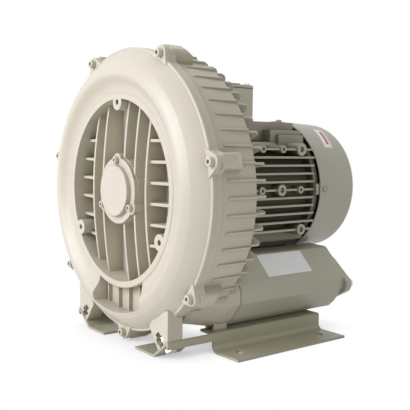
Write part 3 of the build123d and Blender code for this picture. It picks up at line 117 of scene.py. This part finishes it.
# ------------------------------------------------------------------ shader maths
class Wire:
    """An output socket of a shader tree; arithmetic on it adds Math nodes."""

    def __init__(self, tree, socket=None):
        self.tree = tree
        self.socket = socket

    def node(self, kind, settings=None, values=None, output=0):
        """Adds a node: settings are its properties, values its input sockets by name or number."""
        made = self.tree.nodes.new("ShaderNode" + kind)
        for key, setting in (settings or {}).items():
            setattr(made, key, setting)
        for key, value in (values or {}).items():
            if isinstance(value, Wire):
                self.tree.links.new(value.socket, made.inputs[key])
            else:
                made.inputs[key].default_value = value
        return Wire(self.tree, made.outputs[output] if made.outputs else None)

    def maths(self, operation, *values):
        """A Math node that works on the values in their order."""
        return self.node("Math", {"operation": operation}, dict(enumerate(values)))

    def __add__(self, other):
        return self.maths("ADD", self, other)

    __radd__ = __add__

    def __sub__(self, other):
        return self.maths("SUBTRACT", self, other)

    def __rsub__(self, other):
        return self.maths("SUBTRACT", other, self)

    def __mul__(self, other):
        return self.maths("MULTIPLY", self, other)

    __rmul__ = __mul__

    def clamped(self, low, high):
        """Zero at low, one at high, straight between."""
        return self.node("MapRange", {"clamp": True},
                         {"Value": self, "From Min": low, "From Max": high})

    def mixed(self, first, second):
        """Two colours mixed by this factor."""
        made = self.tree.nodes.new("ShaderNodeMix")
        made.data_type = "RGBA"
        made.blend_type = "MIX"
        self.tree.links.new(self.socket, made.inputs[0])
        for slot, value in ((6, first), (7, second)):
            if isinstance(value, Wire):
                self.tree.links.new(value.socket, made.inputs[slot])
            else:
                made.inputs[slot].default_value = (*value[:3], 1)
        return Wire(self.tree, made.outputs[2])


def shade(colour, factor):
    """The colour made darker or lighter, with no channel over one."""
    return tuple(min(1.0, c * factor) for c in colour[:3])


def new_material(name):
    """A material with an empty tree, and the wire that its nodes are made from."""
    material = bpy.data.materials.new(name)
    material.use_nodes = True
    material.node_tree.nodes.clear()
    return material, Wire(material.node_tree)


def close_material(tree, values):
    """Ends a tree with a principled surface that takes the values."""
    surface = tree.node("BsdfPrincipled", {}, values)
    tree.node("OutputMaterial", {}, {"Surface": surface})


def place(tree):
    """The place of a point in its object's own frame."""
    return tree.node("TexCoord", output="Object")


def noise(tree, where, scale, detail=3.0):
    """Cloudy noise round one half."""
    return tree.node("TexNoise", {}, {"Vector": where, "Scale": scale, "Detail": detail})


def mottled(cloud, colour, dark, light, low=0.3, high=0.7):
    """The colour between two of its shades, by a factor that is read from low to high."""
    return cloud.clamped(low, high).mixed(shade(colour, dark), shade(colour, light))


def soft_edge(tree, radius, samples=EDGE_SAMPLES):
    """A normal that lets light see edges as rounded."""
    return tree.node("Bevel", {"samples": samples}, {"Radius": radius})


def openness(tree, reach, samples=CORNER_SAMPLES):
    """One on open faces, towards zero in corners narrower than the reach."""
    return tree.node("AmbientOcclusion", {"samples": samples, "inside": False},
                     {"Distance": reach}, "AO")


def relief(tree, height, strength, depth, **normal):
    """A bump made of a height, over a Normal where one is given."""
    return tree.node("Bump", {}, {"Strength": strength, "Distance": depth, "Height": height,
                                  **normal})


def background_rays(tree):
    """One for the rays that see the plain background: camera, glossy and transmission."""
    camera, glossy, through = (tree.node("LightPath", output=f"Is {kind} Ray")
                               for kind in ("Camera", "Glossy", "Transmission"))
    return tree.maths("MAXIMUM", camera, tree.maths("MAXIMUM", glossy, through))


# ------------------------------------------------------------------ materials
def cast_paint(name, colour, edge=0.0011, grain=1.0, gloss=0.42, corner_shade_strength=0.4, reach=0.018):
    """Enamel over a casting: soft edges, fine grain, and painted shade: darker colour and rougher
    paint in corners narrower than the reach.
    """
    material, tree = new_material(name)
    spot = place(tree)
    cloud = noise(tree, spot, scale=9.0, detail=4.0)
    fine = noise(tree, spot, scale=620.0, detail=2.0)
    coarse = noise(tree, spot, scale=120.0)
    # Painted shade: corners narrower than the reach get a darker, olive colour where light falls
    # short; the same mask makes the paint rougher there.
    painted_corner_shade = (1.0 - openness(tree, reach)) * corner_shade_strength
    tone = mottled(cloud, colour, dark=0.955, light=1.03)
    # The painted shade colour: the enamel at about a third of its brightness, tinted olive.
    tone = painted_corner_shade.mixed(tone, (colour[0] * 0.3, colour[1] * 0.29, colour[2] * 0.24))
    bump = relief(tree, fine * 0.6 + coarse * 0.4, strength=0.12 * grain, depth=0.0006,
                  Normal=soft_edge(tree, edge))
    rough = coarse * 0.12 + (gloss - 0.06) + painted_corner_shade * 0.25
    close_material(tree, {"Base Color": tone, "Roughness": rough, "Normal": bump,
                          "Specular IOR Level": 0.45})
    return material


def sheet_paint(name, colour, edge=0.0008, gloss=0.36, corner_shade_strength=0.3, reach=0.012):
    """Smooth enamel over pressed or bent sheet steel, with painted shade in its corners."""
    material, tree = new_material(name)
    spot = place(tree)
    cloud = noise(tree, spot, scale=14.0)
    ripple = noise(tree, spot, scale=60.0, detail=2.0)
    fine = noise(tree, spot, scale=900.0, detail=2.0)
    # Painted shade: corners narrower than the reach fade to half the colour where light falls
    # short; the same mask makes the paint rougher there.
    painted_corner_shade = (1.0 - openness(tree, reach)) * corner_shade_strength
    tone = mottled(cloud, colour, dark=0.965, light=1.02)
    tone = painted_corner_shade.mixed(tone, shade(colour, 0.5))
    bump = relief(tree, ripple * 0.7 + fine * 0.3, strength=0.08, depth=0.0005,
                  Normal=soft_edge(tree, edge))
    rough = ripple * 0.1 + (gloss - 0.05) + painted_corner_shade * 0.2
    close_material(tree, {"Base Color": tone, "Roughness": rough, "Normal": bump,
                          "Specular IOR Level": 0.5})
    return material


def turned_metal(name, colour, roughness=0.3, metallic=1.0, marks=2600.0, edge=0.0004):
    """Turned, ground or plated metal with fine tool marks."""
    material, tree = new_material(name)
    spot = place(tree)
    wear = noise(tree, spot, scale=45.0, detail=4.0)
    tone = mottled(wear, colour, dark=0.82, light=1.06, high=0.75)
    bump = relief(tree, noise(tree, spot, scale=marks, detail=1.0), strength=0.1, depth=0.0002,
                  Normal=soft_edge(tree, edge, FINE_EDGE_SAMPLES))
    rough = wear * 0.22 + (roughness - 0.11)
    close_material(tree, {"Base Color": tone, "Roughness": rough, "Metallic": metallic,
                          "Normal": bump})
    return material


def laminations(name, colour):
    """A stack of thin punched sheets, seen on edge along the shaft."""
    material, tree = new_material(name)
    spot = place(tree)
    along = tree.node("SeparateXYZ", {}, {"Vector": spot}, "Y")
    layers = tree.maths("SINE", along * (2 * PI / SHEET_PITCH))
    stain = noise(tree, spot, scale=60.0, detail=4.0)
    tone = mottled(stain, colour, dark=0.8, light=1.15)
    bump = relief(tree, layers, strength=0.3, depth=0.0002)
    close_material(tree, {"Base Color": tone, "Roughness": stain * 0.2 + 0.4, "Metallic": 0.8,
                          "Normal": bump})
    return material


def wound_wire(name, colour):
    """Varnished copper wire wound in bundles."""
    material, tree = new_material(name)
    spot = place(tree)
    strands = tree.node("TexWave", {"wave_type": "BANDS", "bands_direction": "DIAGONAL"},
                        {"Vector": spot, "Scale": 420.0, "Distortion": 3.0, "Detail": 2.0}, "Fac")
    tone = strands.mixed(shade(colour, 0.45), shade(colour, 1.25))
    bump = relief(tree, strands, strength=0.6, depth=0.0006)
    close_material(tree, {"Base Color": tone, "Roughness": strands * 0.15 + 0.3, "Metallic": 0.4,
                          "Normal": bump})
    return material


def moulded(name, colour, roughness=0.45, edge=0.0005):
    """Moulded plastic or rubber with a fine surface texture."""
    material, tree = new_material(name)
    spot = place(tree)
    cloud = noise(tree, spot, scale=30.0)
    fine = noise(tree, spot, scale=500.0, detail=2.0)
    tone = mottled(cloud, colour, dark=0.85, light=1.2)
    bump = relief(tree, fine, strength=0.25, depth=0.0003,
                  Normal=soft_edge(tree, edge, FINE_EDGE_SAMPLES))
    close_material(tree, {"Base Color": tone, "Roughness": cloud * 0.12 + (roughness - 0.06),
                          "Normal": bump})
    return material


def foam(name, colour):
    """Open cell foam: deep pores."""
    material, tree = new_material(name)
    cells = tree.node("TexVoronoi", {"feature": "F1"}, {"Vector": place(tree), "Scale": 700.0})
    tone = mottled(cells, colour, dark=0.4, light=1.3, low=0.1, high=0.6)
    bump = relief(tree, 1.0 - cells, strength=0.8, depth=0.0008)
    close_material(tree, {"Base Color": tone, "Roughness": cells * 0.05 + 0.9, "Normal": bump})
    return material


def printed(name, colour, roughness=0.25):
    """Smooth vinyl with a slight unevenness."""
    material, tree = new_material(name)
    cloud = noise(tree, place(tree), scale=80.0, detail=2.0)
    tone = mottled(cloud, colour, dark=0.96, light=1.0)
    close_material(tree, {"Base Color": tone, "Roughness": cloud * 0.1 + (roughness - 0.05)})
    return material


# ------------------------------------------------------------------ outlines
def rounded_outline(half_w, half_h, radius, steps=6):
    """Corner-rounded rectangle as a list of points, anticlockwise."""
    points = []
    for quarter, (cx, cy) in enumerate(((1, 1), (-1, 1), (-1, -1), (1, -1))):
        for step in range(steps + 1):
            a = PI / 2 * (quarter + step / steps)
            points.append((cx * (half_w - radius) + radius * math.cos(a),
                           cy * (half_h - radius) + radius * math.sin(a)))
    return points


def circle(x, z, radius, steps):
    """Points round a circle, anticlockwise."""
    turns = [2 * PI * i / steps for i in range(steps)]
    return [(x + radius * math.cos(a), z + radius * math.sin(a)) for a in turns]


def hull(points):
    """Convex outline round some points, anticlockwise."""
    ordered = sorted(points)
    halves = []
    for run in (ordered, ordered[::-1]):
        half = []
        for point in run:
            while len(half) > 1 and turn_of(half[-2], half[-1], point) <= 0:
                half.pop()
            half.append(point)
        halves += half[:-1]
    return halves


def turn_of(first, middle, last):
    """Over zero where the way through three points turns left."""
    return ((middle[0] - first[0]) * (last[1] - first[1])
            - (middle[1] - first[1]) * (last[0] - first[0]))


def shrunk(outline, centre, cut):
    """The outline pulled towards a centre by about a cut in millimetres."""
    points = []
    for x, z in outline:
        kept = 1 - cut / math.hypot(x - centre[0], z - centre[1])
        points.append((centre[0] + (x - centre[0]) * kept, centre[1] + (z - centre[1]) * kept))
    return points


# ------------------------------------------------------------------ meshes
def mesh_object(name, mesh_maker):
    """A linked mesh object filled by a function that is given an empty bmesh."""
    made = bmesh.new()
    mesh_maker(made)
    bmesh.ops.recalc_face_normals(made, faces=made.faces)
    mesh = bpy.data.meshes.new(name)
    made.to_mesh(mesh)
    made.free()
    piece = bpy.data.objects.new(name, mesh)
    bpy.context.scene.collection.objects.link(piece)
    return piece


def dress(piece, material, body="casing", smooth=True):
    """Gives a piece its material, shading and body."""
    piece.data.materials.append(material)
    for polygon in piece.data.polygons:
        polygon.use_smooth = smooth
    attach(piece, body)
    return piece


def wall(mesh, first, second):
    """Joins two closed loops of as many vertices with quads."""
    for i in range(len(first)):
        j = (i + 1) % len(first)
        mesh.faces.new((first[i], first[j], second[j], second[i]))


def cap(mesh, loops):
    """Fills the flat area between an outer loop and the loops inside it."""
    edges = []
    for loop in loops:
        for pair in zip([loop[-1], *loop], loop):
            edges.append(mesh.edges.get(pair) or mesh.edges.new(pair))
    bmesh.ops.triangle_fill(mesh, use_beauty=True, edges=edges)


def plate_maker(outline, thickness, place_point, crown=0.7, inset=0.985):
    """Fills a bmesh with a thin plate, its upper edge cut: laid on by place_point(u, v, lift)."""

    def make(mesh):
        low = [mesh.verts.new(place_point(u, v, 0.0)) for u, v in outline]
        high = [mesh.verts.new(place_point(u, v, thickness * crown)) for u, v in outline]
        top = [mesh.verts.new(place_point(u * inset, v * inset, thickness)) for u, v in outline]
        mesh.faces.new(top)
        mesh.faces.new(list(reversed(low)))
        wall(mesh, low, high)
        wall(mesh, high, top)

    return make


def strip_maker(half_w, half_l, thickness, place_point, rows=24, inset=0.97):
    """Fills a bmesh with a thin strip that can bend along v: half_w in u, half_l in v."""
    corners = ((-1, 0.0), (1, 0.0), (inset, thickness), (-inset, thickness))

    def make(mesh):
        sections = []
        for row in range(rows + 1):
            v = half_l * (2 * row / rows - 1)
            sections.append([mesh.verts.new(place_point(u * half_w, v, lift))
                             for u, lift in corners])
        for first, second in zip(sections, sections[1:]):
            wall(mesh, first, second)
        mesh.faces.new(sections[0])
        mesh.faces.new(list(reversed(sections[-1])))

    return make


def thread_profile():
    """Depth and radius of each ring of a port's threaded bore, front to rear."""
    rings = []
    depth = PORT_FRONT_DEPTH
    while depth + THREAD_PITCH < PORT_REAR_DEPTH:
        rings += [(depth, BORE_R), (depth + THREAD_PITCH / 2, BORE_R + THREAD_HEIGHT)]
        depth += THREAD_PITCH
    return rings + [(depth, BORE_R), (PORT_REAR_DEPTH, BORE_R + THREAD_HEIGHT)]


def port_plate_maker(middle):
    """Fills a bmesh with a rhombic plate round a port's middle, bored and drilled."""
    ears = (middle - EAR_REACH, middle + EAR_REACH)
    outline = hull([p for x in ears for p in circle(x, EAR_Z, EAR_R, EAR_STEPS)]
                   + circle(middle, PORT_ROUND_Z, PORT_ROUND_R, FINE_STEPS))
    cut_outline = shrunk(outline, (middle, EAR_Z), PORT_EDGE_CUT)

    def make(mesh):
        def loop(points, depth):
            return [mesh.verts.new(over_shaft(x, depth, z)) for x, z in points]

        outer = [loop(outline, PORT_FRONT_DEPTH), loop(outline, PORT_REAR_DEPTH - PORT_EDGE_CUT),
                 loop(cut_outline, PORT_REAR_DEPTH)]
        holes = [[loop(circle(x, EAR_Z, EAR_HOLE_R, HOLE_STEPS), depth)
                  for depth in (PORT_FRONT_DEPTH, PORT_REAR_DEPTH)] for x in ears]
        bore = [loop(circle(middle, BORE_Z, radius, FINE_STEPS), depth)
                for depth, radius in thread_profile()]
        for first, second in zip(outer, outer[1:]):
            wall(mesh, first, second)
        for run in (*holes, bore):
            for first, second in zip(run, run[1:]):
                wall(mesh, second, first)
        for end in (0, -1):
            cap(mesh, [outer[end], bore[end]] + [hole[end] for hole in holes])

    return make


def round_cowl(clear):
    """Lays a plate on the cowl's cone, clear of it: u along the shaft, v round it."""

    def put(u, v, lift):
        along = STICKER_DEPTH + u * 1000 - STICKER_SKEW * v * 1000
        radius = (COWL_FRONT_R - (along - COWL_FRONT_DEPTH) * COWL_SLOPE
                  + (lift + clear) * 1000)
        turn = STICKER_ANGLE + v * 1000 / radius
        return over_shaft(radius * math.cos(turn), along, radius * math.sin(turn))

    return put


def down_slope():
    """Lays a plate on the silencer's upper slope: u along the shaft, v down the slope."""
    top, low = Vector(SILENCER_SLOPE_TOP), Vector(SILENCER_SLOPE_LOW)
    along = (low - top).normalized()
    outward = Vector((-along.y, along.x))
    middle = top + along * LABEL_DROP

    def put(u, v, lift):
        across = middle + along * (v * 1000) + outward * (lift * 1000)
        return over_shaft(across.x, LABEL_DEPTH + u * 1000, across.y)

    return put


# ------------------------------------------------------------------ settings
class BlowerSettings(bpy.types.PropertyGroup):
    casting_colour: FloatVectorProperty(
        name="Casting colour", description="Enamel on the cover, housing, motor and silencers",
        subtype="COLOR", size=3, min=0, max=1, default=(0.59, 0.55, 0.43))
    cowl_colour: FloatVectorProperty(
        name="Cowl colour", description="Enamel on the fan cowl",
        subtype="COLOR", size=3, min=0, max=1, default=(0.49, 0.475, 0.385))
    foot_colour: FloatVectorProperty(
        name="Foot colour", description="Enamel on the sheet metal feet",
        subtype="COLOR", size=3, min=0, max=1, default=(0.43, 0.41, 0.29))
    label_colour: FloatVectorProperty(
        name="Label colour", description="Plain label on the silencer",
        subtype="COLOR", size=3, min=0, max=1, default=(0.96, 0.96, 0.95))
    bar_colour: FloatVectorProperty(
        name="Bar colour", description="Plain bar on the cowl's sticker",
        subtype="COLOR", size=3, min=0, max=1, default=(0.55, 0.06, 0.04))
    label_length: FloatProperty(
        name="Label length", description="Length of the silencer label along the shaft",
        default=0.079, unit="LENGTH", min=0.01)
    label_width: FloatProperty(
        name="Label width", description="Width of the silencer label across the slope",
        default=0.0345, unit="LENGTH", min=0.01)
    sticker_length: FloatProperty(
        name="Sticker length", description="Length of the cowl's sticker round the cowl",
        default=0.042, unit="LENGTH", min=0.01)
    sticker_width: FloatProperty(
        name="Sticker width", description="Width of the cowl's sticker along the shaft",
        default=0.0175, unit="LENGTH", min=0.005)
    background: FloatProperty(
        name="Background", description="How bright the floor and background show",
        default=1.0, min=0, max=1, subtype="FACTOR")
    focal_length: FloatProperty(
        name="Focal length", description="Camera lens in millimetres",
        default=60.64, min=10, max=300, subtype="DISTANCE_CAMERA", unit="CAMERA")
    room_light: FloatProperty(
        name="Room light", description="Strength of the even light from all sides",
        default=0.32, min=0, max=2)
    key_power: FloatProperty(
        name="Key power", description="Power of the large light in front, in watts",
        default=62.0, min=0, max=500, unit="POWER")


def settings():
    """The blower's settings in the open scene."""
    return bpy.context.scene.blower


def cad_finish(names, material):
    """Puts one material on each CAD object named."""
    for name in names:
        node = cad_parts[name]
        node.data.materials.clear()
        node.data.materials.append(material)


# ------------------------------------------------------------------ operators
class BLOWER_OT_castings(bpy.types.Operator):
    """Enamels the cast parts of the blower and motor"""

    bl_idname = "blower.castings"
    bl_label = "Castings"

    def execute(self, context):
        tone = tuple(settings().casting_colour)
        casting = cast_paint("pebble_enamel_casting", tone, gloss=0.38, corner_shade_strength=0.55)
        cad_finish(["front_cover", "housing", "bearing_cap", "terminal_box", "terminal_box_lid",
                    "blanking_plug"], casting)
        # Painted shade: the silencers get a darker, greener copy of the casting enamel, as they
        # lie in shade.
        shaded_tone = (tone[0] * 0.86, tone[1] * 0.89, tone[2] * 0.88)
        cad_finish(["silencer_left", "silencer_right"],
                   cast_paint("pebble_enamel_silencer_shaded", shaded_tone, corner_shade_strength=0.5))
        # Painted shade: the motor frame and end shield get the casting enamel darkened to 0.84,
        # with deep painted shade in the gaps between the fins.
        cad_finish(["motor_frame", "end_shield"],
                   cast_paint("pebble_enamel_motor_shaded", shade(tone, 0.84), corner_shade_strength=1.3, reach=0.045))
        cad_finish(["cover_screws", "bearing_cap_screws"],
                   cast_paint("pebble_enamel_fasteners", tone, edge=0.0004, grain=0.3))
        return {"FINISHED"}


class BLOWER_OT_port_flanges(bpy.types.Operator):
    """Makes the two port flanges: a rhombic plate with a threaded bore and two ears"""

    bl_idname = "blower.port_flanges"
    bl_label = "Port flanges"

    def execute(self, context):
        # Painted shade: the port flanges get the casting enamel darkened to 0.88, as they lie in
        # shade at the rear.
        tone = shade(tuple(settings().casting_colour), 0.88)
        paint = cast_paint("pebble_enamel_ports_shaded", tone, corner_shade_strength=0.5)
        for hand, side in (("left", -1), ("right", 1)):
            piece = mesh_object(f"port_plate_{hand}", port_plate_maker(side * PORT_X))
            dress(piece, paint, smooth=False)
            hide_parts(f"port_flange_{hand}")
        return {"FINISHED"}


class BLOWER_OT_sheet_metal(bpy.types.Operator):
    """Enamels the fan cowl and the feet"""

    bl_idname = "blower.sheet_metal"
    bl_label = "Sheet metal"

    def execute(self, context):
        cad_finish(["fan_cowl"], sheet_paint("enamel_cowl", tuple(settings().cowl_colour)))
        cad_finish(["foot_left", "foot_right"],
                   sheet_paint("olive_enamel_feet", tuple(settings().foot_colour)))
        return {"FINISHED"}


class BLOWER_OT_metal(bpy.types.Operator):
    """Finishes the bare, plated and ground metal parts"""

    bl_idname = "blower.metal"
    bl_label = "Metal parts"

    def execute(self, context):
        plated = turned_metal("zinc_plate", (0.62, 0.61, 0.57), roughness=0.38, metallic=0.85)
        dull = turned_metal("dull_zinc", (0.42, 0.41, 0.35), roughness=0.5, metallic=0.4)
        cad_finish(["cowl_screws"], dull)
        cad_finish(["tie_bolts", "lid_screws", "foot_bolts", "foot_nuts",
                    "port_flange_screws_left", "port_flange_screws_right", "shaft_end_screw",
                    "shaft_end_washer", "fan_circlip", "preload_washer", "impeller_key",
                    "silencer_screen_left", "silencer_screen_right"], plated)
        ground = turned_metal("bearing_steel", (0.55, 0.55, 0.56), roughness=0.18)
        cad_finish(["shaft", "spacer_sleeve"]
                   + [f"{end}_bearing_{part}" for end in ("front", "rear")
                      for part in ("outer_race", "inner_race", "balls")], ground)
        cast = turned_metal("cast_aluminium", (0.6, 0.6, 0.61), roughness=0.45, metallic=0.9,
                            marks=900.0)
        cad_finish(["impeller", "front_bearing_cage", "rear_bearing_cage"], cast)
        cad_finish(["terminal_studs"], turned_metal("brass_studs", (0.62, 0.45, 0.18)))
        cad_finish(["stator_core", "rotor_core"], laminations("sheet_stack", (0.3, 0.3, 0.31)))
        cad_finish(["stator_windings"], wound_wire("copper_wire", (0.45, 0.2, 0.09)))
        return {"FINISHED"}


class BLOWER_OT_plastics(bpy.types.Operator):
    """Finishes the plastic, rubber and foam parts"""

    bl_idname = "blower.plastics"
    bl_label = "Plastics and rubber"

    def execute(self, context):
        cad_finish(["cable_gland", "terminal_board"],
                   moulded("black_moulding", (0.035, 0.035, 0.037)))
        cad_finish(["fan"], moulded("fan_moulding", (0.05, 0.05, 0.055), roughness=0.5))
        cad_finish(["front_seal", "rear_seal", "terminal_box_gasket", "silencer_gasket_left",
                    "silencer_gasket_right"],
                   moulded("gasket_rubber", (0.03, 0.03, 0.03), roughness=0.7))
        cad_finish(["silencer_lining_left", "silencer_lining_right"],
                   foam("foam_lining", (0.12, 0.12, 0.125)))
        return {"FINISHED"}


class BLOWER_OT_silencer_label(bpy.types.Operator):
    """Adds the plain label on the upper slope of the right silencer"""

    bl_idname = "blower.silencer_label"
    bl_label = "Silencer label"

    def execute(self, context):
        set_up = settings()
        outline = rounded_outline(set_up.label_length / 2, set_up.label_width / 2, LABEL_CORNER)
        label = mesh_object("silencer_label", plate_maker(outline, LABEL_THICKNESS, down_slope()))
        dress(label, printed("label_vinyl", tuple(set_up.label_colour)), smooth=False)
        return {"FINISHED"}


class BLOWER_OT_cowl_sticker(bpy.types.Operator):
    """Adds the small white sticker with a plain bar on the fan cowl"""

    bl_idname = "blower.cowl_sticker"
    bl_label = "Cowl sticker"

    def execute(self, context):
        set_up = settings()
        width, length = set_up.sticker_width, set_up.sticker_length
        for name, half_w, half_l, colour, clear in (
                ("cowl_sticker", width / 2, length / 2, set_up.label_colour, 0.0),
                ("cowl_sticker_bar", width * BAR_WIDTH_SHARE, length * BAR_LENGTH_SHARE,
                 set_up.bar_colour, BAR_CLEARANCE)):
            strip = strip_maker(half_w, half_l, STICKER_THICKNESS, round_cowl(clear))
            piece = mesh_object(name, strip)
            dress(piece, printed(name + "_vinyl", tuple(colour)))
        return {"FINISHED"}


class BLOWER_OT_stage(bpy.types.Operator):
    """Sets the pale floor, the soft lights and the camera"""

    bl_idname = "blower.stage"
    bl_label = "Studio"

    def execute(self, context):
        context.scene.view_settings.view_transform = "Standard"
        self.add_floor()
        self.add_world(context.scene)
        self.add_lamps(context.scene)
        self.add_camera(context.scene)
        return {"FINISHED"}

    def add_floor(self):
        """A floor that shows as the background, but for the shadow where the blower is near."""

        def floor_maker(mesh):
            mesh.faces.new([mesh.verts.new((x * FLOOR_HALF, y * FLOOR_HALF, 0.0))
                            for x, y in ((-1, -1), (1, -1), (1, 1), (-1, 1))])

        floor = mesh_object("floor", floor_maker)
        white = settings().background
        material, tree = new_material("pale_floor")
        cloud = noise(tree, place(tree), scale=3.0)
        tone = cloud.clamped(0.2, 0.8).mixed((0.8, 0.8, 0.79), (0.84, 0.84, 0.83))
        matt = tree.node("BsdfDiffuse", {}, {"Color": tone})
        glow = tree.node("Emission", {}, {"Color": (white, white, white, 1), "Strength": 1.0})
        open_floor = openness(tree, 0.06, FLOOR_SAMPLES).clamped(0.0, 0.8)
        share = background_rays(tree) * (open_floor * 0.6 + 0.4)
        shown = tree.node("MixShader", {}, {0: share, 1: matt, 2: glow})
        tree.node("OutputMaterial", {}, {"Surface": shown})
        floor.data.materials.append(material)

    def add_world(self, scene):
        """White behind the blower, a weaker even light on it."""
        world = bpy.data.worlds.new("studio")
        scene.world = world
        world.use_nodes = True
        world.node_tree.nodes.clear()
        tree = Wire(world.node_tree)
        room = settings().room_light
        strength = background_rays(tree) * (settings().background - room) + room
        glow = tree.node("Background", {}, {"Color": (1, 1, 1, 1), "Strength": strength})
        tree.node("OutputWorld", {}, {"Surface": glow})

    def add_lamps(self, scene):
        """Square lamps: spot, size and power in watts."""
        for name, spot, size, power, tint in (
                ("key", (-0.35, -2.4, 1.2), 1.5, settings().key_power, COOL_WHITE),
                ("fill", (1.9, -0.5, 0.9), 1.6, 4.0, PLAIN_WHITE),
                ("top", (0.1, 0.2, 2.2), 1.4, 6.0, PLAIN_WHITE)):
            lamp = bpy.data.lights.new(name, "AREA")
            lamp.shape = "SQUARE"
            lamp.size = size
            lamp.energy = power
            lamp.color = tint
            holder = bpy.data.objects.new(name, lamp)
            scene.collection.objects.link(holder)
            holder.location = spot
            aim = Vector(LIGHT_TARGET) - holder.location
            holder.rotation_euler = aim.to_track_quat("-Z", "Y").to_euler()

    def add_camera(self, scene):
        """The camera at its spot, turned by yaw, pitch and roll."""
        yaw, pitch, roll = (math.radians(a) for a in CAMERA_ANGLES)
        forward = Vector((-math.sin(yaw) * math.cos(pitch), math.cos(yaw) * math.cos(pitch),
                          -math.sin(pitch)))
        level = Vector((math.cos(yaw), math.sin(yaw), 0.0))
        raised = level.cross(forward)
        right = level * math.cos(roll) + raised * math.sin(roll)
        up = raised * math.cos(roll) - level * math.sin(roll)
        camera = bpy.data.cameras.new("camera")
        camera.sensor_width = SENSOR_WIDTH
        camera.lens = settings().focal_length
        holder = bpy.data.objects.new("camera", camera)
        scene.collection.objects.link(holder)
        turn = Matrix((right, up, -forward)).transposed()
        holder.matrix_world = Matrix.Translation(CAMERA_SPOT) @ turn.to_4x4()
        scene.camera = holder


STEPS = (BLOWER_OT_castings, BLOWER_OT_port_flanges, BLOWER_OT_sheet_metal, BLOWER_OT_metal,
         BLOWER_OT_plastics, BLOWER_OT_silencer_label, BLOWER_OT_cowl_sticker, BLOWER_OT_stage)


class BLOWER_PT_panel(bpy.types.Panel):
    """The blower's pieces, in the order they are made"""

    bl_idname = "BLOWER_PT_panel"
    bl_label = "Side channel blower"
    bl_space_type = "VIEW_3D"
    bl_region_type = "UI"
    bl_category = "Blower"

    def draw(self, context):
        for name in BlowerSettings.__annotations__:
            self.layout.prop(context.scene.blower, name)
        for step in STEPS:
            self.layout.operator(step.bl_idname)


CLASSES = (BlowerSettings, *STEPS, BLOWER_PT_panel)


def register():
    for kind in CLASSES:
        bpy.utils.register_class(kind)
    bpy.types.Scene.blower = PointerProperty(type=BlowerSettings)


def unregister():
    del bpy.types.Scene.blower
    for kind in reversed(CLASSES):
        bpy.utils.unregister_class(kind)


def main():
    register()
    for step in STEPS:
        group, name = step.bl_idname.split(".")
        getattr(getattr(bpy.ops, group), name)()


if __name__ == "__main__":
    main()
